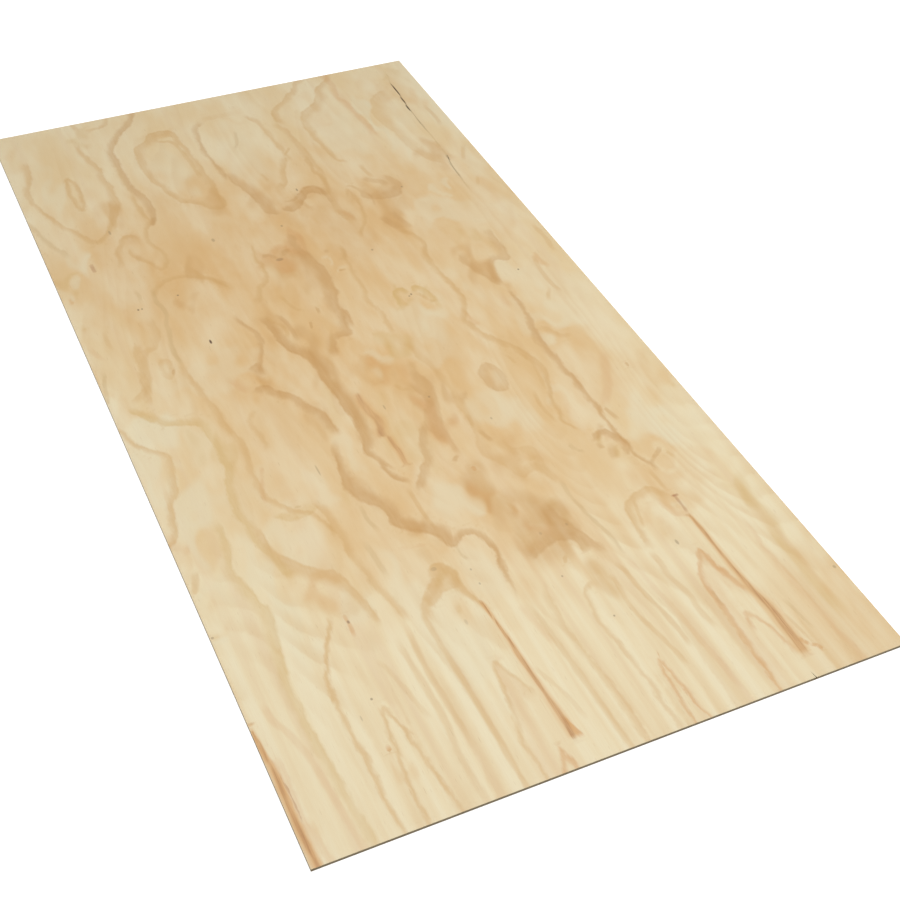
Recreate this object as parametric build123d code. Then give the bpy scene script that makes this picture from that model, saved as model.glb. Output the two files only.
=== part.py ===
from build123d import *
import os

# A full sheet of thin pine plywood, lying on its back with the show face up. It is glued up from three
# peeled veneers: a face and a back whose grain runs along the sheet, and a core whose grain runs across it.
# The origin is under the middle of the sheet, on the back face: +X across the sheet, +Y along it and its
# face grain, +Z up through the plies. Sizes are in millimetres.

# The sheet as it was sawn to size
sheet_length = 2400.0
sheet_width = 1200.0

# The plies
face_veneer_thickness = 2.3
core_veneer_thickness = 2.4
back_veneer_thickness = 2.3

# The sawn edges of the two outer plies are worn round by handling
arris_radius = 0.3

# The face veneer has dried open along the grain near one far corner. The split runs down the sheet, closes,
# and opens again lower down. Its line starts this far in from the long edge and from the far end.
far_split_from_edge = 77.0
far_split_from_end = 112.0
far_split_widest = 2.0

# Down the line of the split: how far below its start, how far it has wandered to the left, and how wide
# it gapes there as a share of its widest place
far_split_upper = [
    (0.0, 0.0, 0.0),
    (32.0, 0.2, 1.0),
    (66.0, 0.8, 0.75),
    (80.0, 2.0, 0.3),
    (104.0, 3.4, 0.9),
    (126.0, 5.2, 0.35),
    (146.0, 8.2, 0.8),
    (170.0, 7.2, 0.3),
    (240.0, 8.6, 0.18),
    (320.0, 7.0, 0.0),
]
far_split_lower = [
    (406.0, 8.0, 0.0),
    (418.0, 9.6, 0.6),
    (440.0, 15.6, 0.55),
    (462.0, 18.0, 0.25),
    (500.0, 21.6, 0.2),
    (560.0, 25.0, 0.0),
]

# A short split runs in from the near end, over a place where a knot has dropped out of the core's edge
near_split_from_edge = 205.0
near_split_length = 18.0
near_split_mouth = 1.6
near_split_lean = 2.5
knot_hole_width = 8.0
knot_hole_depth = 5.0

# A cut runs this far past the surface that it opens through
cut_past = 1.0

sheet_thickness = face_veneer_thickness + core_veneer_thickness + back_veneer_thickness
core_bottom = back_veneer_thickness
face_bottom = core_bottom + core_veneer_thickness
right_edge = sheet_width / 2
far_end = sheet_length / 2
near_end = -sheet_length / 2


def veneer(bottom, thickness):
    """One ply: a flat rectangle of the whole sheet, from its lower face up."""
    return Pos(0, 0, bottom) * Box(
        sheet_width, sheet_length, thickness, align=(Align.CENTER, Align.CENTER, Align.MIN)
    )


def worn(ply, outer_faces):
    """A ply whose outer face has its four edges rounded over, by no more than the ply can hold."""
    radius = min(arris_radius, face_veneer_thickness / 3, back_veneer_thickness / 3)
    return fillet(outer_faces.edges(), radius)


def through_face_veneer(outline):
    """A closed outline, cut down through the whole face veneer as far as the core."""
    cut = extrude(make_face(outline), amount=face_veneer_thickness + cut_past)
    return Pos(0, 0, face_bottom) * cut


def split_along_grain(stations):
    """A ragged slit of the far split: its two lips run down the stations and meet where it is closed."""
    start_x = right_edge - far_split_from_edge
    start_y = far_end - far_split_from_end
    right_lip = []
    left_lip = []
    for down, wander, share in stations:
        middle = start_x - wander
        half_gap = share * far_split_widest / 2
        right_lip.append((middle + half_gap, start_y - down))
        if share > 0:
            left_lip.append((middle - half_gap, start_y - down))
    return through_face_veneer(Polyline(*right_lip, *reversed(left_lip), close=True))


def split_at_near_end():
    """The short split: a wedge that is open at the near end and closes further in, leaning off the grain."""
    mouth = right_edge - near_split_from_edge
    outside = near_end - cut_past
    tip = (mouth - near_split_lean, near_end + near_split_length)
    wedge = Polyline(
        (mouth - near_split_mouth / 2, outside),
        (mouth + near_split_mouth / 2, outside),
        tip,
        close=True,
    )
    return through_face_veneer(wedge)


def knot_hole():
    """The hole in the core's near edge: half an oval, as deep as the knot was, through the whole core."""
    middle = right_edge - near_split_from_edge
    oval = Pos(middle, near_end) * Ellipse(knot_hole_width / 2, knot_hole_depth)
    return Pos(0, 0, core_bottom) * extrude(oval, amount=core_veneer_thickness)


back_veneer = veneer(0.0, back_veneer_thickness)
back_veneer = worn(back_veneer, back_veneer.faces().sort_by(Axis.Z)[0])

core_veneer = veneer(core_bottom, core_veneer_thickness) - knot_hole()

face_veneer = veneer(face_bottom, face_veneer_thickness)
face_veneer = worn(face_veneer, face_veneer.faces().sort_by(Axis.Z)[-1])
face_veneer -= split_along_grain(far_split_upper)
face_veneer -= split_along_grain(far_split_lower)
face_veneer -= split_at_near_end()

os.makedirs("parts", exist_ok=True)
for name, ply in (("face_veneer", face_veneer), ("core_veneer", core_veneer), ("back_veneer", back_veneer)):
    export_step(ply, f"parts/{name}.step")

print(f"sheet {sheet_length:g} x {sheet_width:g} x {sheet_thickness:g} mm")
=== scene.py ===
"""A full sheet of thin pine plywood, lying on a pale studio floor with its peeled show face up.

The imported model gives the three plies. The face veneer is made again here as a fine surface, open where
the veneer has split, and it carries the figure that peeling a log leaves: ring lines that are crisp on
one side and fade on the other, tone patches, resin streaks and small knots. The core and the back keep
their own solids and get a finish each.

Places on the sheet are in millimetres from its near left corner, across (x) and along (y).
"""

import logging
import math
from dataclasses import dataclass
from enum import Enum
from functools import reduce

import bmesh
import bpy
import numpy as np
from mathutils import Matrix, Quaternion, Vector


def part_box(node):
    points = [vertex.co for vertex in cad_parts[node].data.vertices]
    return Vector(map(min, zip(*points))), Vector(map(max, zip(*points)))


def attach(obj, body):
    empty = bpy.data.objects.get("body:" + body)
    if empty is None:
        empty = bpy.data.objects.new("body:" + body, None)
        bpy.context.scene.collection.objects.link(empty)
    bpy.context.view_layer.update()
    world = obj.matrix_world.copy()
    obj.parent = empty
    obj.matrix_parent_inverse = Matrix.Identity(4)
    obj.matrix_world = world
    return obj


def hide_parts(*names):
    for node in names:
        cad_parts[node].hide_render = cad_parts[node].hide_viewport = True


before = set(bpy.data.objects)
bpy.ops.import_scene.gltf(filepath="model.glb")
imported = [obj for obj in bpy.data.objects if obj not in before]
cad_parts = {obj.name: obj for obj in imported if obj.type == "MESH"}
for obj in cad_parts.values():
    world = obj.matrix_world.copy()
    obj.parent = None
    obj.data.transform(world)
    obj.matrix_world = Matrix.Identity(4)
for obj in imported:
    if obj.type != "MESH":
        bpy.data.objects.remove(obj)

LOG = logging.getLogger("plywood_sheet")
MM = 0.001

Point = tuple[float, float]
Triple = tuple[float, float, float]
Colour = tuple[float, float, float]

# The measures of a ring line, in millimetres: the steps in which its spline is cut, how far its stain
# reaches behind the crisp edge, how far past the stain its weight begins to fall and over what length it
# does, and how near the sheet's edge an end runs off instead of fading
LINE_STEP = 7.0
BEHIND_EDGE = 3.0
FADE_FROM = 4.0
FADE_OVER = 7.0
RUNS_OFF = 12.0

# How many pairs of a place and a span are measured at once, which keeps the arrays small
PAIRS_AT_ONCE = 3_000_000

# What a ring attribute and a speck attribute hold where no line and no speck is near
IDLE_RING = (0.0, 10.0, 0.0)
IDLE_SPECK = (30.0, 30.0, 0.0)

# How far past its oval a speck is measured, across and along the sheet, in millimetres
SPECK_REACH = (8.0, 24.0)

# How near the top a place of the face counts as level with it, and how near each other two places are
# merged, in millimetres
LEVEL_WITHIN = 0.005
MERGE_WITHIN = 0.001

# The random sines that make the outlines of the tone patches irregular
MEANDER_SEED = 41
MEANDER_WAVES = 5
MEANDER_REACH = (14.0, 26.0)


class Stain(Enum):
    """How the wood is tinted, as a place along the stain ramp of the face finish."""

    OLIVE = 0.0
    MUSTARD = 0.17
    TAN = 0.34
    PINK = 0.5
    BROWN = 0.67
    ORANGE = 0.84
    RED = 1.0


class Fade(Enum):
    """The side of a ring line, as one walks along it, to which its colour fades away."""

    LEFT = 1.0
    RIGHT = -1.0
    BOTH = 0.0


OLIVE, MUSTARD, TAN, PINK, BROWN, ORANGE, RED = Stain
LEFT, RIGHT, BOTH = Fade


def smooth(t: np.ndarray) -> np.ndarray:
    """The smooth step: 0 below 0, 1 above 1, and three t squared less two t cubed between them."""
    t = np.clip(t, 0.0, 1.0)
    return t * t * (3.0 - 2.0 * t)


def spline_through(points: np.ndarray, step: float) -> np.ndarray:
    """A smooth line through the points: a Catmull-Rom spline, each span of it cut about step long.

    Each span is the cubic whose slope at a point is half the way between that point's two neighbours.

    Args:
        points: The places that the line goes through, one to a row.
        step: The wanted distance between places on the finished line.

    Returns:
        Places along the line, one to a row.
    """
    ends = np.vstack([2 * points[0] - points[1], points, 2 * points[-1] - points[-2]])
    spans = []
    for p0, p1, p2, p3 in zip(ends[:-3], ends[1:-2], ends[2:-1], ends[3:]):
        count = max(2, int(np.linalg.norm(p2 - p1) / step) + 1)
        t = np.linspace(0.0, 1.0, count, endpoint=False)[:, None]
        spans.append(
            p1
            + 0.5 * t * (p2 - p0)
            + t**2 * (p0 - 2.5 * p1 + 2 * p2 - 0.5 * p3)
            + 0.5 * t**3 * (3 * p1 - p0 - 3 * p2 + p3)
        )
    return np.vstack([*spans, points[-1:]])


def meander(x: np.ndarray, y: np.ndarray) -> tuple[np.ndarray, np.ndarray]:
    """Places carried a little to and fro, so that what is drawn at them gets an irregular outline.

    Each shift is a sum of a few sines of the place, whose lengths and starts are drawn at random.

    Args:
        x: Places across the sheet.
        y: Places along the sheet.

    Returns:
        The carried places across and along the sheet.
    """
    chance = np.random.default_rng(MEANDER_SEED)
    carried = []
    for start, reach in zip((x, y), MEANDER_REACH):
        moved = start.copy()
        for _ in range(MEANDER_WAVES):
            wave_x, wave_y = chance.uniform(0.02, 0.1), chance.uniform(0.01, 0.06)
            turn, share = chance.uniform(0.0, 6.28), chance.uniform(0.3, 0.7)
            lean = chance.choice([-1, 1])
            moved = moved + reach * share * np.sin(x * wave_x + y * wave_y * lean + turn)
        carried.append(moved)
    return carried[0], carried[1]


@dataclass(frozen=True)
class RingLine:
    """The edge of one growth ring where the knife cut through it.

    Attributes:
        points: Places that the crisp edge goes through.
        widths: How far the colour reaches from the edge, spread evenly along it.
        strength: How much of the stain there is at the edge.
        stain: Its tint.
        fade: The side to which the colour fades, or both for a soft line.
        ends: The length over which the line comes and goes at its two ends.
    """

    points: tuple[Point, ...]
    widths: tuple[float, ...]
    strength: float
    stain: Stain = TAN
    fade: Fade = RIGHT
    ends: float = 28.0

    def measure(self, x: np.ndarray, y: np.ndarray, size: Point) -> tuple[np.ndarray, ...]:
        """How far each place is from the line.

        The distance is to the nearest point of the line, counted as positive on the side to which the
        colour fades. The weight is the line's strength, less near its ends and far from the line.

        Args:
            x: Places across the sheet.
            y: Places along the sheet.
            size: The sheet's width and length.

        Returns:
            The indices of the places that the line reaches, and their distance, width and weight.
        """
        line = spline_through(np.array(self.points, float), LINE_STEP)
        reach = max(self.widths) + BEHIND_EDGE + FADE_FROM + FADE_OVER
        low, high = line.min(0) - reach, line.max(0) + reach
        near = np.flatnonzero((x > low[0]) & (x < high[0]) & (y > low[1]) & (y < high[1]))
        place = np.stack([x[near], y[near]], -1)
        start, run = line[:-1], np.diff(line, axis=0)
        length = np.linalg.norm(run, axis=1)
        gone = np.concatenate([[0.0], np.cumsum(length)])
        distance = np.empty(len(near))
        along = np.empty(len(near))
        parts = 1 + len(near) * len(run) // PAIRS_AT_ONCE
        for part in np.array_split(np.arange(len(near)), parts):
            away = place[part][:, None] - start
            share = np.clip((away * run).sum(-1) / length**2, 0.0, 1.0)
            gap = np.linalg.norm(away - share[..., None] * run, axis=-1)
            best = gap.argmin(1)
            rows = np.arange(len(part))
            side = run[best, 0] * away[rows, best, 1] - run[best, 1] * away[rows, best, 0]
            distance[part] = gap[rows, best] * np.where(side < 0, -1.0, 1.0)
            along[part] = gone[best] + share[rows, best] * length[best]
        distance = np.abs(distance) if self.fade is BOTH else distance * self.fade.value
        width = np.interp(along, np.linspace(0.0, gone[-1], len(self.widths)), self.widths)
        weight = np.full(len(near), self.strength)
        for end, left in ((self.points[0], along), (self.points[-1], gone[-1] - along)):
            if all(RUNS_OFF < at < whole - RUNS_OFF for at, whole in zip(end, size)):
                weight *= smooth(left / self.ends)
        beyond = np.maximum(distance - width, -distance - BEHIND_EDGE)
        weight *= smooth(1.0 - (beyond - FADE_FROM) / FADE_OVER)
        kept = weight > 0.0
        return near[kept], distance[kept], width[kept], weight[kept]


@dataclass(frozen=True)
class TonePatch:
    """A soft-edged oval of veneer that is a tone darker or paler.

    Attributes:
        centre: Its middle.
        half: Half its width and half its length.
        amount: How much of the tone there is, from 0 to 1.
        rim: Where its soft edge ends, as a share of the half sizes; it begins one less than that.
    """

    centre: Point
    half: Point
    amount: float
    rim: float = 1.5

    def cover(self, x: np.ndarray, y: np.ndarray) -> np.ndarray:
        """How much of the patch is at each place: a smooth step of the distance inside the oval."""
        across = (x - self.centre[0]) / self.half[0]
        along = (y - self.centre[1]) / self.half[1]
        return self.amount * smooth(self.rim - np.hypot(across, along))


@dataclass(frozen=True)
class Speck:
    """A pin knot or a fleck of bark in the veneer.

    Attributes:
        centre: Its middle.
        half: Half its width and half its length.
        depth: How dark it is, from 0 to 1.
    """

    centre: Point
    half: Point
    depth: float

    def measure(self, x: np.ndarray, y: np.ndarray) -> tuple[np.ndarray, ...]:
        """Where each nearby place is on the oval, whose rim is at 1.

        Args:
            x: Places across the sheet.
            y: Places along the sheet.

        Returns:
            The indices of the places near it, and across and along the oval where each of them is.
        """
        across, along = x - self.centre[0], y - self.centre[1]
        beside = np.abs(across) < self.half[0] + SPECK_REACH[0]
        level = np.abs(along) < self.half[1] + SPECK_REACH[1]
        near = np.flatnonzero(beside & level)
        return near, across[near] / self.half[0], along[near] / self.half[1]


@dataclass(frozen=True)
class Split:
    """A place where the face veneer has opened along the grain.

    Attributes:
        line: Its middle line as it runs towards the near end: places with the gap's width there.
        start_column: The column of the unbent grid that is bent to follow it.
        bend: How far to its left and right the columns bend with it.
        settle: How far past its ends the columns take to run straight again.
    """

    line: tuple[tuple[float, float, float], ...]
    start_column: float
    bend: Point
    settle: float = 160.0

    def wander(self, y: np.ndarray) -> np.ndarray:
        """How far the line is from its first column at each place along the sheet."""
        along = np.array(self.line)[::-1]
        before, after = along[0, 1] - self.settle, along[-1, 1] + self.settle
        places = np.concatenate([[before], along[:, 1], [after]])
        moved = np.concatenate([[0.0], along[:, 0] - self.start_column, [0.0]])
        return np.interp(y, places, moved)

    def gap(self, y: np.ndarray) -> np.ndarray:
        """The width that the split gapes at each place along the sheet."""
        along = np.array(self.line)[::-1]
        return np.interp(y, along[:, 1], along[:, 2], left=along[0, 2], right=along[-1, 2])


def ring(
    points: list[Point],
    *widths: float,
    strength: float = 0.5,
    stain: Stain = TAN,
    fade: Fade = RIGHT,
    ends: float = 28.0,
) -> RingLine:
    """A ring line from its places, the widths of its colour and what else is unusual about it."""
    return RingLine(tuple(points), widths, strength, stain, fade, ends)


def soft(points: list[Point], *widths: float, **unusual: float | Stain) -> RingLine:
    """A ring line whose colour fades to both of its sides."""
    return ring(points, *widths, fade=BOTH, **unusual)


def patches(*ovals: tuple[float, float, float, float, float]) -> tuple[TonePatch, ...]:
    """Tone patches, each from its middle across and along, half its width and length, and its amount."""
    return tuple(TonePatch((x, y), (half_x, half_y), amount) for x, y, half_x, half_y, amount in ovals)


# The far split: its start, its widest gap, and down it how far it has wandered to the left and its share
# of the widest gap
FAR_SPLIT_START = (1123.0, 2288.0)
FAR_SPLIT_WIDEST = 2.0
FAR_SPLIT_STATIONS = (
    (0.0, 0.0, 0.0), (32.0, 0.2, 1.0), (66.0, 0.8, 0.75), (80.0, 2.0, 0.3), (104.0, 3.4, 0.9),
    (126.0, 5.2, 0.35), (146.0, 8.2, 0.8), (170.0, 7.2, 0.3), (240.0, 8.6, 0.18), (320.0, 7.0, 0.0),
    (406.0, 8.0, 0.0), (418.0, 9.6, 0.6), (440.0, 15.6, 0.55), (462.0, 18.0, 0.25), (500.0, 21.6, 0.2),
    (560.0, 25.0, 0.0),
)
NEAR_SPLIT_MOUTH = 995.0
NEAR_SPLIT_LENGTH = 18.0
NEAR_SPLIT_LEAN = 2.5
NEAR_SPLIT_WIDEST = 1.6

SPLITS = (
    Split(
        tuple(
            (FAR_SPLIT_START[0] - left, FAR_SPLIT_START[1] - down, share * FAR_SPLIT_WIDEST)
            for down, left, share in FAR_SPLIT_STATIONS
        ),
        FAR_SPLIT_START[0],
        (100.0, 72.0),
    ),
    Split(
        (
            (NEAR_SPLIT_MOUTH - NEAR_SPLIT_LEAN, NEAR_SPLIT_LENGTH, 0.0),
            (NEAR_SPLIT_MOUTH, 0.0, NEAR_SPLIT_WIDEST),
        ),
        NEAR_SPLIT_MOUTH - NEAR_SPLIT_LEAN,
        (24.0, 24.0),
    ),
)

# The straight-grained near end: long legs and the pointed arches between them, from left to right
NEAR_END = (
    ring([(3, 285), (9, 242), (17, 213), (15, 180), (18, 0)], 18, strength=0.6, stain=ORANGE),
    soft([(209, 176), (209, 154)], 5, strength=0.6, stain=ORANGE, ends=7),
    soft([(13, 214), (18, 165), (21, 80)], 2, stain=RED, ends=24),
    ring([(29, 238), (30, 190), (26, 80), (36, 40), (44, 0)], 20, strength=0.3, stain=PINK),
    ring([(440, 0), (438, 60), (451, 190), (459, 250), (466, 250), (482, 205), (504, 160)], 34,
         strength=0.26, stain=PINK),
    ring([(926, 0), (930, 230), (944, 310), (962, 345), (974, 300), (992, 230)], 30, strength=0.26,
         stain=PINK),
    soft([(36, 350), (45, 300), (58, 270), (76, 200), (95, 0)], 9, strength=0.3, stain=PINK),
    ring([(112, 810), (110, 730), (97, 680), (96, 655), (104, 640), (118, 575), (127, 550), (119, 483),
          (112, 448), (100, 350), (103, 300), (103, 250), (120, 0)], 16, 26, 24, 22, 20, strength=0.45,
         stain=MUSTARD),
    ring([(223, 495), (204, 445), (192, 428), (168, 370), (160, 330), (158, 200), (163, 170), (160, 50),
          (165, 0)], 11, strength=0.55, fade=LEFT),
    ring([(208, 0), (209, 95), (215, 120), (224, 235), (236, 256), (241, 247), (248, 215), (257, 190),
          (257, 160), (278, 0)], 9),
    soft([(260, 360), (272, 340), (280, 310), (303, 190)], 7, strength=0.26),
    soft([(318, 400), (325, 200), (318, 100), (320, 0)], 9, strength=0.34, ends=60),
    soft([(350, 420), (342, 300), (350, 100)], 8, strength=0.36, ends=60),
    soft([(388, 430), (394, 200), (396, 0)], 8, strength=0.44, ends=20),
    ring([(433, 0), (430, 90), (436, 120), (450, 210), (455, 258), (462, 267), (470, 255), (507, 165)], 9,
         strength=0.45),
    ring([(465, 0), (485, 50), (497, 0)], 12, strength=0.6, stain=ORANGE),
    soft([(520, 240), (550, 150), (560, 80)], 6, strength=0.24),
    soft([(572, 380), (575, 340), (588, 250)], 9, strength=0.26, stain=PINK),
    soft([(521, 112), (526, 84), (534, 52)], 6, strength=0.75, stain=ORANGE, ends=12),
    soft([(1016, 96), (1028, 74), (1042, 60), (1046, 44)], 6, stain=ORANGE, ends=12),
    soft([(585, 390), (592, 300), (603, 0)], 8, strength=0.34, ends=60),
    ring([(645, 420), (632, 350), (630, 250), (640, 150), (644, 0)], 16, strength=0.36, ends=60),
    ring([(738, 365), (722, 368), (698, 350), (694, 320), (688, 260), (702, 130), (700, 60), (702, 0)],
         12, strength=0.42, fade=LEFT),
    soft([(752, 436), (748, 390), (750, 350), (758, 296)], 14, 26, 22, 10, ends=30),
    soft([(770, 380), (770, 340), (765, 280), (788, 150), (790, 110)], 7, strength=0.34),
    ring([(733, 0), (740, 115), (749, 158), (753, 120), (762, 40), (770, 0)], 7, stain=ORANGE),
    soft([(790, 400), (800, 370), (802, 340), (818, 220), (821, 150)], 7, strength=0.4),
    soft([(820, 400), (828, 350), (832, 300), (840, 250), (845, 150), (850, 100), (852, 30)], 8,
         strength=0.28, stain=PINK),
    soft([(872, 400), (876, 360), (875, 320), (885, 260), (882, 230), (890, 170)], 8, strength=0.34),
    ring([(915, 0), (920, 180), (923, 210), (920, 240), (928, 300), (948, 335), (964, 363), (972, 352),
          (975, 330), (1000, 220)], 11, 13, 15, 12, strength=0.6, stain=ORANGE),
    soft([(932, 262), (930, 235), (928, 210)], 4, strength=0.35, stain=BROWN, ends=12),
    ring([(948, 130), (955, 170), (962, 190), (983, 150), (1000, 55)], 9, strength=0.45, stain=ORANGE),
    soft([(1025, 160), (1030, 140), (1040, 55)], 5, strength=0.34),
    soft([(1042, 190), (1050, 170), (1060, 95)], 5, strength=0.3, stain=OLIVE),
    ring([(1095, 410), (1098, 350), (1095, 300), (1103, 100), (1110, 0)], 14, strength=0.32, stain=PINK,
         ends=60),
    soft([(1162, 520), (1145, 470), (1140, 430), (1148, 395), (1140, 350), (1130, 300), (1132, 150),
          (1140, 90)], 18, strength=0.36, stain=MUSTARD, ends=60),
)

# The restless figure across the middle of the near half
NEAR_HALF = (
    soft([(29, 700), (17, 664), (10, 645)], 9, strength=0.4, ends=20),
    ring([(0, 1152), (12, 1133), (15, 1114), (29, 1083), (62, 1048), (73, 1034), (77, 1006), (65, 941),
          (54, 902), (38, 875), (27, 814), (16, 788), (0, 775)], 12, 16, 18, 16, 12),
    soft([(38, 945), (35, 902), (29, 850)], 6, strength=0.3),
    ring([(37, 1212), (39, 1190), (54, 1168), (96, 1121), (154, 1098), (167, 1085), (165, 1064),
          (173, 1010), (169, 971), (173, 941), (154, 891), (147, 806), (154, 770), (154, 740), (169, 680),
          (185, 620), (197, 595)], 22, 26, 22, 20, 22, strength=0.48, stain=MUSTARD, fade=LEFT),
    ring([(181, 770), (181, 733), (192, 675), (242, 614), (269, 595), (281, 579), (304, 495), (311, 425)],
         12, 28, 40, 34, 20, 14, strength=0.52),
    soft([(250, 486), (252, 448), (250, 418)], 5, stain=ORANGE, ends=14),
    ring([(219, 785), (221, 770), (242, 750), (285, 752), (316, 770)], 36, strength=0.4, stain=MUSTARD,
         fade=LEFT, ends=20),
    soft([(264, 787), (282, 776)], 4, strength=0.4, stain=OLIVE, ends=6),
    ring([(300, 790), (312, 748), (315, 722), (313, 695), (319, 668), (319, 637), (315, 618), (327, 564),
          (327, 533), (348, 445), (350, 414)], 18, strength=0.46, fade=LEFT),
    soft([(358, 645), (363, 579), (365, 530)], 8, strength=0.32, stain=OLIVE),
    ring([(431, 952), (415, 941), (404, 925), (389, 856), (386, 830), (380, 787), (396, 748), (421, 718),
          (431, 687), (425, 668), (435, 652), (450, 641), (465, 625), (496, 602), (512, 566), (521, 556),
          (535, 563), (546, 574), (558, 577), (573, 564), (588, 525), (585, 502), (577, 456), (572, 370)],
         12, 16, 28, 38, 34, 36, 34, 20, 13, 10, 7, strength=0.66, stain=BROWN, fade=LEFT, ends=90),
    soft([(387, 745), (390, 718), (388, 698), (398, 650)], 6, strength=0.36, stain=OLIVE),
    soft([(500, 750), (500, 655), (510, 600)], 6, strength=0.4),
    soft([(400, 593), (450, 590), (490, 574)], 6, strength=0.28, stain=PINK),
    ring([(438, 500), (446, 524), (469, 533), (492, 510), (496, 491), (489, 466), (504, 418), (513, 360)],
         26, 30, 26, 14, 10, strength=0.6),
    ring([(442, 522), (440, 495), (415, 468), (396, 445), (388, 400)], 26, 30, 18, strength=0.46,
         fade=LEFT),
    ring([(402, 436), (427, 441), (458, 460), (473, 462), (487, 456)], 28, strength=0.44, fade=LEFT,
         ends=12),
    soft([(523, 560), (523, 535), (527, 520), (534, 512)], 5, strength=0.36, stain=OLIVE, ends=12),
    soft([(619, 774), (628, 787), (642, 796)], 6, strength=0.45, stain=BROWN, ends=12),
    soft([(651, 760), (651, 732)], 5, stain=ORANGE, ends=8),
    soft([(640, 770), (647, 725), (645, 700), (650, 665), (664, 630), (682, 600)], 8, 18, 26, 34,
         strength=0.34, ends=30),
    soft([(665, 638), (675, 610), (686, 575)], 6, strength=0.36),
    ring([(744, 600), (750, 550), (763, 533), (771, 502), (790, 448), (795, 420)], 40, 46, 30, 16,
         strength=0.55, stain=BROWN),
    ring([(648, 560), (650, 502), (652, 466)], 40, strength=0.4, fade=LEFT),
    ring([(645, 462), (705, 491), (732, 487), (748, 475), (751, 437)], 34, 40, 20, strength=0.46,
         stain=BROWN, fade=LEFT, ends=14),
    soft([(717, 455), (705, 441), (703, 425)], 4, strength=0.4, ends=10),
    ring([(682, 1190), (690, 1125), (698, 1098), (709, 995), (705, 960), (700, 845), (690, 815),
          (687, 787), (692, 764), (705, 741), (713, 721), (732, 685), (744, 679), (755, 687), (771, 691),
          (779, 675), (790, 645), (800, 628)], 20, 20, 18, 24, 36, 30, 16, strength=0.4, fade=LEFT),
    soft([(800, 650), (802, 630), (800, 595), (809, 525), (821, 464), (821, 402)], 6, strength=0.34,
         stain=OLIVE),
    ring([(748, 812), (756, 770), (793, 760), (795, 714), (800, 664)], 26, strength=0.34),
    soft([(871, 738), (878, 714), (894, 696)], 6, strength=0.34, stain=OLIVE, ends=12),
    ring([(923, 715), (928, 735), (940, 745), (966, 744), (986, 718), (992, 695), (989, 675), (978, 657),
          (962, 660)], 22, strength=0.58, stain=BROWN, ends=18),
    ring([(923, 696), (942, 697)], 16, strength=0.45, stain=BROWN, fade=LEFT, ends=7),
    ring([(998, 1280), (1003, 1200), (998, 1152), (992, 1133), (990, 1106), (984, 1079), (988, 995),
          (986, 948), (992, 925), (990, 864), (992, 818), (988, 760), (994, 687), (992, 648), (1009, 610),
          (1009, 583)], 8, 16, 20, 20, 16, 12, 10, 8, strength=0.62, stain=BROWN),
    soft([(1007, 606), (1013, 621), (1040, 641), (1052, 654)], 6, strength=0.42, stain=BROWN, ends=14),
    soft([(1054, 640), (1063, 605)], 5, strength=0.35, ends=12),
    soft([(990, 606), (994, 540), (992, 518)], 6, strength=0.36),
    ring([(873, 398), (877, 456), (878, 487), (898, 533), (936, 552), (959, 556), (975, 548), (990, 516),
          (1000, 508)], 16, 22, 24, 20, strength=0.52),
    soft([(894, 450), (909, 510), (918, 532)], 5, strength=0.32, ends=16),
    ring([(958, 522), (963, 479), (978, 456), (994, 450), (1000, 438)], 18, strength=0.4, stain=PINK,
         fade=LEFT),
    soft([(991, 510), (1003, 512), (1012, 508)], 4, strength=0.56, stain=RED, ends=7),
    soft([(1000, 520), (1001, 490), (1000, 455)], 4, strength=0.4, stain=RED, ends=12),
)

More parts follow.
